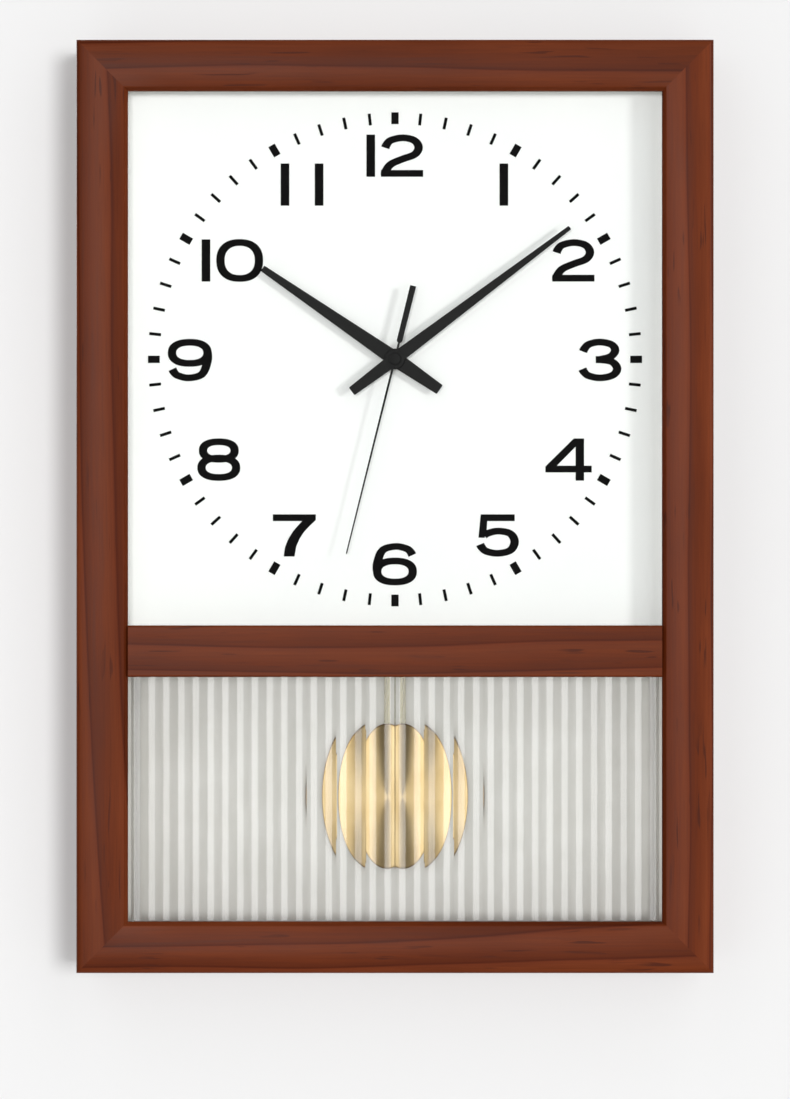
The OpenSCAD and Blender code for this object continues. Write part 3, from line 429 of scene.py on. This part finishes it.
def piece(name, maker, material, body, node, bevel=0.0, segments=2, angle=32.0):
    """Turn a bmesh into the object that stands for a CAD node. bevel is in millimetres."""
    bmesh.ops.remove_doubles(maker, verts=maker.verts, dist=1e-7)
    bmesh.ops.recalc_face_normals(maker, faces=maker.faces)
    made = add_object(name, maker)
    mesh = made.data
    mesh.polygons.foreach_set("use_smooth", [True] * len(mesh.polygons))
    mesh.materials.append(material)
    if bevel:
        soften(made, bevel, segments, angle)
    mesh.set_sharp_from_angle(angle=math.radians(angle))
    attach(made, body)
    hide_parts(node)
    return made


def soften(obj, width, segments, angle):
    """Round an object's hard edges with a bevel modifier."""
    edge = obj.modifiers.new("soft_edges", "BEVEL")
    edge.width = width * MM
    edge.segments = segments
    edge.limit_method = "ANGLE"
    edge.angle_limit = math.radians(angle)
    edge.harden_normals = True


def loft(maker, loops):
    """Skin a list of equal-length closed loops of points, in millimetres, and cap its ends."""
    rows = [[maker.verts.new([c * MM for c in point]) for point in loop] for loop in loops]
    count = len(rows[0])
    for near, far in zip(rows, rows[1:]):
        for i in range(count):
            j = (i + 1) % count
            maker.faces.new((near[i], near[j], far[j], far[i]))
    maker.faces.new(rows[0])
    maker.faces.new(rows[-1])


def lathe(maker, profile, centre, steps=64, axis=1):
    """Turn (radius, height) points round an axis through centre, in millimetres."""
    side, up = [i for i in range(3) if i != axis]
    loops = []
    for radius, height in profile:
        loop = []
        for i in range(steps):
            turn = 2 * math.pi * i / steps
            point = [0.0, 0.0, 0.0]
            point[side] = centre[side] + radius * math.cos(turn)
            point[up] = centre[up] + radius * math.sin(turn)
            point[axis] = height
            loop.append(point)
        loops.append(loop)
    loft(maker, loops)


def slab(maker, outline, front, rear):
    """A flat plate from an (x, z) outline between two depths, in millimetres."""
    loft(maker, [[(x, y, z) for x, z in outline] for y in (front, rear)])


def block(maker, low, high):
    """A box between two corners, in millimetres."""
    corners = [(low[0], low[2]), (high[0], low[2]), (high[0], high[2]), (low[0], high[2])]
    slab(maker, corners, low[1], high[1])


def arc(centre, radius, start, end, steps):
    """Points on a circle between two angles in degrees."""
    turns = [math.radians(start + (end - start) * i / steps) for i in range(steps + 1)]
    return [(centre[0] + radius * math.cos(t), centre[1] + radius * math.sin(t)) for t in turns]


def box_mm(node):
    """A CAD node's corners at rest, in millimetres."""
    low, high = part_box(node)
    return low / MM, high / MM


def middle_of(low, high):
    """A box's centre across the clock's face. lathe() along Y needs no depth."""
    return ((low.x + high.x) / 2, 0, (low.z + high.z) / 2)


# ---------------------------------------------------------------- case

def moulding_section(rebate):
    """The moulding's outline as (across from the outer edge, depth).

    The face falls gently at its outer band and is chamfered inside.
    """
    front, rear = (corner.y for corner in box_mm("top_rail"))
    corner = arc((OUTER_RADIUS, front + OUTER_DROP + OUTER_RADIUS), OUTER_RADIUS, 180, 262, 6)
    swell_width = OUTER_BAND - OUTER_RADIUS
    swell = [
        (OUTER_RADIUS + swell_width * share, front + OUTER_DROP * (1 - share) ** 1.8)
        for share in (i / 6 for i in range(1, 7))
    ]
    inside = [
        (FACE_WIDTH - INNER_CHAMFER - 0.5, front), (FACE_WIDTH - INNER_CHAMFER, front + 0.15),
        (FACE_WIDTH - 0.15, front + INNER_CHAMFER), (FACE_WIDTH, front + INNER_CHAMFER + 0.5),
        (FACE_WIDTH, front + LIP_DEPTH), (WALL_WIDTH, front + LIP_DEPTH),
        (WALL_WIDTH, rear - REBATE_DEPTH), (WALL_WIDTH - rebate, rear - REBATE_DEPTH),
        (WALL_WIDTH - rebate, rear), (1.2, rear), (0.35, rear - 0.35), (0.0, rear - 1.2),
    ]
    return corner + swell + inside


def moulding(name, node, side, rebate, material):
    """One member with mitred ends. side is the outward direction (x, z)."""
    low, high = box_mm(node)
    left, right = box_mm("left_stile")[0].x, box_mm("right_stile")[1].x
    outline = moulding_section(rebate)
    loops = []
    for i in range(MOULDING_STEPS + 1):
        share = i / MOULDING_STEPS
        loop = []
        for across, depth in outline:
            if side[0]:
                x = high.x - across if side[0] > 0 else low.x + across
                start, end = low.z + across, high.z - across
                loop.append((x, depth, start + (end - start) * share))
            else:
                z = high.z - across if side[1] > 0 else low.z + across
                start, end = left + across, right - across
                loop.append((start + (end - start) * share, depth, z))
        loops.append(loop)
    maker = bmesh.new()
    loft(maker, loops)
    return piece(name, maker, material, "case", node, angle=CASE_ANGLE)


def carve(obj, cutters):
    """Cut other meshes out of an object for good."""
    for cutter in cutters:
        cut = obj.modifiers.new("cut", "BOOLEAN")
        cut.object = cutter
        cut.solver = "EXACT"
    bpy.context.view_layer.update()
    graph = bpy.context.evaluated_depsgraph_get()
    done = bpy.data.meshes.new_from_object(obj.evaluated_get(graph))
    obj.modifiers.clear()
    obj.data = done
    done.set_sharp_from_angle(angle=math.radians(CASE_ANGLE))
    for cutter in cutters:
        bpy.data.objects.remove(cutter)


def cutter_box(low, high):
    """A box in millimetres that carve() cuts away."""
    maker = bmesh.new()
    block(maker, low, high)
    bmesh.ops.recalc_face_normals(maker, faces=maker.faces)
    return add_object("cutter", maker)


def build_case(finish):
    top = moulding("top_moulding", "top_rail", (0, 1), TOP_REBATE, finish["wood_top"])
    moulding("bottom_moulding", "bottom_rail", (0, -1), SIDE_REBATE, finish["wood_bottom"])
    moulding("left_moulding", "left_stile", (-1, 0), SIDE_REBATE, finish["wood_left"])
    moulding("right_moulding", "right_stile", (1, 0), SIDE_REBATE, finish["wood_right"])
    low, high = box_mm("hanger_plate")
    plate_recess = cutter_box((low.x, low.y, low.z), (high.x, high.y + 2, high.z))
    keyhole_pocket = cutter_box((-4.2, low.y - 8, -4.2), (4.2, low.y + 1, 9.0))
    carve(top, [plate_recess, keyhole_pocket])
    build_mid_rail(finish)


def build_mid_rail(finish):
    """A T section: the face ends at the stiles, and the web goes on to the case's walls."""
    low, high = box_mm("mid_rail")
    front, lip = low.y, low.y + LIP_DEPTH
    middle = (low.z + high.z) / 2
    web_low, web_high = middle - HALF_WEB, middle + HALF_WEB
    edge = 0.8
    outline = [
        (front, low.z + edge), (front, high.z - edge), (front + edge, high.z), (lip, high.z),
        (lip, web_high), (high.y, web_high), (high.y, web_low),
        (lip, web_low), (lip, low.z), (front + edge, low.z),
    ]
    maker = bmesh.new()
    inner = box_mm("right_stile")[1].x - FACE_WIDTH
    xs = [inner * (2 * i / 6 - 1) for i in range(7)]
    loft(maker, [[(x, y, z) for y, z in outline] for x in xs])
    for start, end in ((low.x, -inner), (inner, high.x)):
        block(maker, (start, lip, web_low), (end, high.y, web_high))
    piece("middle_rail", maker, finish["wood_middle"], "case", "mid_rail",
          bevel=0.3)


# ---------------------------------------------------------------- glass

def build_glass(finish):
    maker = bmesh.new()
    block(maker, *box_mm("dial_glass"))
    piece("dial_pane", maker, finish["clear_glass"], "case", "dial_glass", bevel=0.3)
    build_fluted_pane(finish)


def build_fluted_pane(finish):
    """Upright hollow flutes on the front face, ground flat on the rear face."""
    low, high = box_mm("fluted_glass")
    half = (FLUTE_PITCH - FLUTE_LAND) / 2
    rim = math.sqrt(FLUTE_RADIUS ** 2 - half ** 2)
    count = int(high.x // FLUTE_PITCH) + 1
    outline = []
    for k in range(-count, count):
        middle = (k + 0.5) * FLUTE_PITCH
        for i in range(FLUTE_STEPS + 1):
            offset = -half + 2 * half * i / FLUTE_STEPS
            x = middle + offset
            if low.x < x < high.x:
                outline.append((x, low.y + math.sqrt(FLUTE_RADIUS ** 2 - offset ** 2) - rim))
    left_edge = [(low.x, high.y), (low.x, outline[0][1])]
    right_edge = [(high.x, outline[-1][1]), (high.x, high.y)]
    outline = left_edge + outline + right_edge
    maker = bmesh.new()
    loft(maker, [[(x, y, z) for x, y in outline] for z in (low.z, high.z)])
    piece("fluted_pane", maker, finish["fluted_glass"], "case", "fluted_glass",
          angle=20.0)


# ---------------------------------------------------------------- hands

def mirrored(half):
    """A closed outline from the points of its right half, listed from the top down."""
    return half + [(-x, z) for x, z in reversed(half)]


def hand_outline(tail_half, hub_half, length, tip_half):
    """A straight tapered hand that points up, with eased corners."""
    ease, tip_ease = 0.35, 0.3
    return mirrored([
        (tip_half - tip_ease, length), (tip_half, length - tip_ease), (hub_half, 0.0),
        (tail_half, ease - TAIL_LENGTH), (tail_half - ease, -TAIL_LENGTH),
    ])


def turn_outline(points, degrees, centre):
    """Turn points clockwise from twelve, as the hands run, and set them on the dial."""
    turn = math.radians(degrees)
    cos, sin = math.cos(turn), math.sin(turn)
    return [(centre[0] + x * cos + z * sin, centre[2] - x * sin + z * cos) for x, z in points]


def build_hand(name, node, outline, degrees, hub_radius, body, finish):
    """A pressed blade with a raised round hub."""
    low, high = box_mm(node)
    centre = middle_of(*box_mm("second_hand_cap"))
    maker = bmesh.new()
    slab(maker, turn_outline(outline, degrees, centre), low.y, high.y)
    bore, step, rise = 1.5, 0.12, 0.04
    lathe(maker, [
        (hub_radius, high.y), (hub_radius, low.y + step), (hub_radius - step, low.y - rise),
        (bore, low.y - rise), (bore, high.y),
    ], centre, 72)
    piece(name, maker, finish["hand_black"], body, node, bevel=0.09)


def build_hands(finish):
    hour = hand_outline(2.87, 4.1, HOUR_LENGTH, 1.75)
    minute = hand_outline(2.55, 3.5, MINUTE_LENGTH, 1.15)
    build_hand("hour_hand_blade", "hour_hand", hour, HOUR_ANGLE, 5.6, "hour", finish)
    build_hand("minute_hand_blade", "minute_hand", minute, MINUTE_ANGLE, 5.3, "minute", finish)
    cap_low, cap_high = box_mm("second_hand_cap")
    centre = middle_of(cap_low, cap_high)
    low, high = box_mm("second_hand")
    maker = bmesh.new()
    slab(maker, turn_outline(mirrored(HALF_NEEDLE), SECOND_ANGLE, centre), low.y, high.y)
    lathe(maker, [(2.6, high.y), (2.6, low.y), (0.5, low.y), (0.5, high.y)], centre, 48)
    black = finish["hand_black"]
    piece("second_hand_blade", maker, black, "second", "second_hand", bevel=0.05)
    radius = (cap_high.x - cap_low.x) / 2
    front = cap_low.y
    maker = bmesh.new()
    lathe(maker, [
        (radius, cap_high.y), (radius, front + 0.25), (radius - 0.1, front + 0.07),
        (radius - 0.3, front), (radius - 0.75, front + 0.05), (0.4, front + 0.16),
    ], centre, 72)
    piece("second_hand_boss", maker, black, "second", "second_hand_cap")


# ---------------------------------------------------------------- pendulum

def build_pendulum(finish):
    """A shallow domed disc with a turned rim, on a flat strip."""
    low, high = box_mm("pendulum_bob")
    radius = (high.x - low.x) / 2
    rim, edge, axis_gap = 0.9, 0.12, 0.01
    front = high.y - rim - edge
    dome = front - low.y
    profile = [
        (axis_gap, high.y - 0.5), (radius - 2.2, high.y - 0.5), (radius - 1.6, high.y),
        (radius - 0.5, high.y), (radius - edge, high.y - edge), (radius, high.y - 0.45),
        (radius - 0.1, high.y - rim), (radius - 0.45, front),
    ]
    for i in range(1, 33):
        share = 1 - i / 32
        profile.append((max((radius - 0.5) * share, axis_gap), front - dome * (1 - share ** 2)))
    maker = bmesh.new()
    lathe(maker, profile, middle_of(low, high), 160)
    piece("pendulum_disc", maker, finish["bob_brass"], "pendulum", "pendulum_bob",
          angle=38.0)
    maker = bmesh.new()
    block(maker, *box_mm("pendulum_rod"))
    piece("pendulum_strip", maker, finish["rod_brass"], "pendulum", "pendulum_rod",
          bevel=0.25, segments=3)


# ---------------------------------------------------------------- fixings

def screw_head(maker, centre, radius, seat, rise):
    """A pan head that faces the rear, with a cross recess. rise is its height above the seat."""
    rings, steps = 16, 64
    arm, reach, recess = radius * 0.14, radius * 0.6, rise * 0.62
    rows = []
    for ring in range(rings + 1):
        share = ring / rings
        row = []
        for i in range(steps):
            turn = 2 * math.pi * i / steps
            dx, dz = share * radius * math.cos(turn), share * radius * math.sin(turn)
            height = rise * math.sqrt(1 - share ** 2.6)
            if (abs(dx) < arm and abs(dz) < reach) or (abs(dz) < arm and abs(dx) < reach):
                height -= recess
            point = (centre[0] + dx, seat + height, centre[2] + dz)
            row.append(maker.verts.new([c * MM for c in point]))
        rows.append(row)
    for near, far in zip(rows, rows[1:]):
        for i in range(steps):
            j = (i + 1) % steps
            maker.faces.new((near[i], near[j], far[j], far[i]))
    maker.faces.new(rows[-1])


def clusters(node):
    """The boxes of a CAD node's separate solids, as (low corner, high corner) in millimetres."""
    maker = bmesh.new()
    maker.from_mesh(NODES[node].data)
    bmesh.ops.remove_doubles(maker, verts=maker.verts, dist=1e-6)
    todo = set(maker.verts)
    found = []
    while todo:
        stack = [todo.pop()]
        island = []
        while stack:
            vert = stack.pop()
            island.append(vert.co.copy())
            for edge in vert.link_edges:
                other = edge.other_vert(vert)
                if other in todo:
                    todo.remove(other)
                    stack.append(other)
        low = Vector([min(p[i] for p in island) for i in range(3)]) / MM
        high = Vector([max(p[i] for p in island) for i in range(3)]) / MM
        found.append((low, high))
    maker.free()
    return sorted(found, key=lambda pair: (round(pair[0].x, 3), round(pair[0].z, 3)))


def build_screws(name, node, finish):
    """Every screw of a node with a pan head, a cross recess and a plain shank."""
    maker = bmesh.new()
    for low, high in clusters(node):
        centre = middle_of(low, high)
        radius = (high.x - low.x) / 2
        rise = min(1.6, radius * 0.55)
        seat, shank = high.y - rise, radius * 0.48
        screw_head(maker, centre, radius, seat, rise)
        lathe(maker, [(shank, seat), (shank, low.y + 2), (0.05, low.y)], centre, 24)
    piece(name, maker, finish["steel"], "case", node)


def build_pads(finish):
    """Round felt feet with a rear edge rounded by wear."""
    maker = bmesh.new()
    for low, high in clusters("felt_pads"):
        radius = (high.x - low.x) / 2
        lathe(maker, [
            (0.01, low.y), (radius, low.y), (radius - 0.05, high.y - 0.5),
            (radius - 0.3, high.y - 0.12), (radius - 0.8, high.y), (0.01, high.y),
        ], middle_of(low, high), 56)
    piece("felt_feet", maker, finish["felt"], "case", "felt_pads")


def build_battery(finish):
    """A plain AA cell lying along X, with crimped rims and a positive nub."""
    low, high = box_mm("battery")
    radius = (high.z - low.z) / 2
    negative_end = [
        (0.01, low.x), (radius - 1.6, low.x), (radius - 1.3, low.x + 0.3),
        (radius - 0.6, low.x + 0.1), (radius - 0.15, low.x + 0.45), (radius, low.x + 1.2),
    ]
    positive_end = [
        (radius, high.x - 2.6), (radius - 0.2, high.x - 1.9), (radius - 0.7, high.x - 1.6),
        (radius - 1.2, high.x - 1.9), (2.9, high.x - 1.7), (2.75, high.x - 0.25),
        (2.5, high.x), (0.01, high.x),
    ]
    maker = bmesh.new()
    lathe(maker, negative_end + positive_end, (low + high) / 2, 72, axis=0)
    piece("battery_cell", maker, finish["battery_jacket"], "case", "battery")


# ---------------------------------------------------------------- carried-over CAD nodes

CARRIED = {
    "bead_wood": ["mid_rail_dowels", "dial_beads", "window_beads"],
    "fibreboard": ["back_board"],
    "dial_white": ["dial_board"],
    "print_black": ["dial_print"],
    "hand_black": ["hour_hand_collar", "minute_hand_collar"],
    "card_white": ["dial_spacers", "lining_card"],
    "rod_brass": ["bob_clip"],
    "bright_brass": ["hanger_plate", "centre_bushing", "fixing_nut"],
    "steel": ["corner_nails", "fixing_washer", "stator", "battery_contact_positive",
              "battery_contact_negative", "pendulum_pivot_pin"],
    "black_plastic": ["movement_front_cover", "movement_rear_cover", "setting_knob"],
    "white_plastic": ["train_plate", "coil_bobbin", "hour_wheel", "minute_arbor", "minute_wheel",
                      "centre_wheel", "third_wheel", "second_arbor", "intermediate_wheel",
                      "pendulum_lever"],
    "copper": ["coil_winding", "pendulum_coil"],
    "board_green": ["circuit_board"],
    "rubber": ["rubber_gasket"],
    "magnet": ["rotor", "pendulum_magnet"],
}


def dress_nodes(finish):
    """Give every carried-over CAD node its finish."""
    for slot, nodes in CARRIED.items():
        for node in nodes:
            slots = NODES[node].material_slots
            if not slots:
                NODES[node].data.materials.append(finish[slot])
            for entry in NODES[node].material_slots:
                entry.link = "OBJECT"
                entry.material = finish[slot]


# ---------------------------------------------------------------- studio

def aim(obj, target):
    obj.rotation_euler = (Vector(target) - obj.location).to_track_quat("-Z", "Y").to_euler()


def add_light(name, kind, place, target):
    light = bpy.data.lights.new(name, kind)
    made = bpy.data.objects.new(name, light)
    made.location = place
    aim(made, target)
    SCENE.collection.objects.link(made)
    return made


def area_light(name, place, target, size, power):
    """A rectangular soft light that the camera doesn't see."""
    made = add_light(name, "AREA", place, target)
    made.data.shape = "RECTANGLE"
    made.data.size, made.data.size_y = size
    made.data.energy = power
    made.visible_camera = False
    return made


def sun_light(name, direction, softness, strength):
    """A far light that comes from a direction, with a soft edge given in degrees."""
    made = add_light(name, "SUN", direction, (0, 0, 0))
    made.data.angle = math.radians(softness)
    made.data.energy = strength
    return made


def strip_lights(label, radiance, degrees, size):
    """A tall soft light each side of the camera, which the flutes and the brass reflect."""
    turn = math.radians(degrees)
    power = radiance * math.pi * size[0] * size[1]
    made = []
    for end, side in (("left", -1), ("right", 1)):
        x, y = side * STRIP_DISTANCE * math.sin(turn), -STRIP_DISTANCE * math.cos(turn)
        place, target = (x, y, STRIP_HEIGHT), (0, 0, STRIP_HEIGHT)
        made.append(area_light(f"{label}_strip_{end}", place, target, size, power))
    return made


def stage_plane(name, corners):
    """A pale backdrop that is only seen from its front."""
    maker = bmesh.new()
    maker.faces.new([maker.verts.new(corner) for corner in corners])
    made = add_object(name, maker)
    make = Shader(name, roughness=0.9, Base_Color=STAGE_GREY, Specular_IOR_Level=0.0,
                  Emission_Color=(1, 1, 1, 1), Emission_Strength=STAGE_GLOW)
    side = make.node("ShaderNodeNewGeometry").outputs["Backfacing"]
    clear = make.node("ShaderNodeBsdfTransparent")
    both = make.node("ShaderNodeMixShader", {
        0: side, 1: make.surface.outputs["BSDF"], 2: clear.outputs["BSDF"],
    })
    make.tree.links.new(both.outputs[0], make.output.inputs["Surface"])
    made.data.materials.append(make.material)
    return made


def link_lights(name, lights, objects, state, shadows=False):
    """Limit lights to some objects, or keep them off those. With shadows, so are their blockers."""
    group = bpy.data.collections.new("lit_by_" + name)
    for obj in objects:
        group.objects.link(obj)
    for entry in group.collection_objects:
        entry.light_linking.link_state = state
    for light in lights:
        light.light_linking.receiver_collection = group
        if shadows:
            light.light_linking.blocker_collection = group


def build_studio():
    """A wall just behind the clock, a floor far below it, and lights for each kind of surface."""
    low, high = CAD_BOX
    wall_y, floor_z = high[1] + WALL_GAP, low[2] - FLOOR_DROP
    reach = STAGE_REACH
    wall = stage_plane("wall", [
        (-reach, wall_y, floor_z), (reach, wall_y, floor_z),
        (reach, wall_y, STAGE_TOP), (-reach, wall_y, STAGE_TOP),
    ])
    floor = stage_plane("floor", [
        (-reach, -reach, floor_z), (reach, -reach, floor_z),
        (reach, reach, floor_z), (-reach, reach, floor_z),
    ])
    key = sun_light("key", *KEY_SUN)
    fill = sun_light("fill", *FILL_SUN)
    rear = area_light("rear_softbox", (-0.9, 2.0, 0.7), (0, 0, -0.25), (1.6, 1.6), REAR_POWER)
    card = NODES["lining_card"]
    names = ("fluted_pane", "dial_pane", "pendulum_disc", "pendulum_strip")
    flutes, dial_pane, disc, rod = (SCENE.objects[name] for name in names)
    link_lights("room", [key, fill], [wall, floor, card, disc, rod, flutes, dial_pane], "EXCLUDE")
    link_lights("rear", [rear], [wall, floor], "EXCLUDE", shadows=True)
    link_lights("wall", [sun_light("wall_key", *WALL_SUN)], [wall, floor], "INCLUDE")
    link_lights("card", [sun_light("card_light", *CARD_SUN)], [card], "INCLUDE")
    link_lights("pane", strip_lights("pane", *GLASS_STRIPS), [flutes], "INCLUDE")
    link_lights("brass", strip_lights("brass", *BRASS_STRIPS), [disc, rod], "INCLUDE")
    build_world()
    SCENE.view_settings.view_transform = "Standard"


def build_world():
    """A round studio for reflections, dim behind the camera and bright at its sides.

    The camera itself sees an even backdrop.
    """
    world = bpy.data.worlds.new("studio")
    world.use_nodes = True
    tree = world.node_tree
    ray = tree.nodes.new("ShaderNodeTexCoord")
    axes = tree.nodes.new("ShaderNodeSeparateXYZ")
    tree.links.new(ray.outputs["Generated"], axes.inputs[0])

    def maths(operation, *values):
        made = tree.nodes.new("ShaderNodeMath")
        made.operation = operation
        for socket, value in zip(made.inputs, values):
            if isinstance(value, bpy.types.NodeSocket):
                tree.links.new(value, socket)
            else:
                socket.default_value = value
        return made.outputs[0]

    forwards = maths("MULTIPLY", axes.outputs["Y"], -1.0)
    sideways = maths("ARCTAN2", maths("ABSOLUTE", axes.outputs["X"]), forwards)
    share = maths("DIVIDE", sideways, math.pi)
    band = tree.nodes.new("ShaderNodeValToRGB")
    tree.links.new(share, band.inputs["Fac"])
    ramp = band.color_ramp
    while len(ramp.elements) < len(WORLD_BANDS):
        ramp.elements.new(0.5)
    for element, (degrees, level) in zip(ramp.elements, WORLD_BANDS):
        element.position = degrees / 180.0
        element.color = (level, level, level, 1)
    side = maths("ADD", maths("MULTIPLY", maths("SIGN", axes.outputs["X"]), SIDE_BALANCE), 1.0)
    level = maths("MULTIPLY", band.outputs["Color"], side)
    seen = tree.nodes.new("ShaderNodeLightPath").outputs["Is Camera Ray"]
    lit = maths("MULTIPLY", maths("MULTIPLY", level, WORLD_STRENGTH), maths("SUBTRACT", 1.0, seen))
    total = maths("ADD", lit, maths("MULTIPLY", seen, BACKDROP_LEVEL))
    background = tree.nodes["Background"]
    background.inputs["Color"].default_value = (1.0, 1.0, 1.0, 1)
    tree.links.new(total, background.inputs["Strength"])
    SCENE.world = world


def build_camera():
    """A long lens square on to the clock's face, with VIEW_HEIGHT of it in the frame."""
    front = CAD_BOX[0][1]
    data = bpy.data.cameras.new("view")
    data.lens = CAMERA_LENS
    data.sensor_width = CAMERA_SENSOR
    data.clip_end = 50
    camera = bpy.data.objects.new("view", data)
    distance = VIEW_HEIGHT * MM * CAMERA_LENS / CAMERA_SENSOR
    camera.location = (0, front - distance, VIEW_CENTRE_Z * MM)
    camera.rotation_euler = (math.pi / 2, 0, 0)
    SCENE.collection.objects.link(camera)
    SCENE.camera = camera


def main():
    build_camera()
    finish = build_materials()
    dress_nodes(finish)
    build_case(finish)
    build_glass(finish)
    build_hands(finish)
    build_pendulum(finish)
    build_screws("board_screws", "back_board_screws", finish)
    build_screws("plate_screws", "hanger_screws", finish)
    build_pads(finish)
    build_battery(finish)
    build_studio()


main()
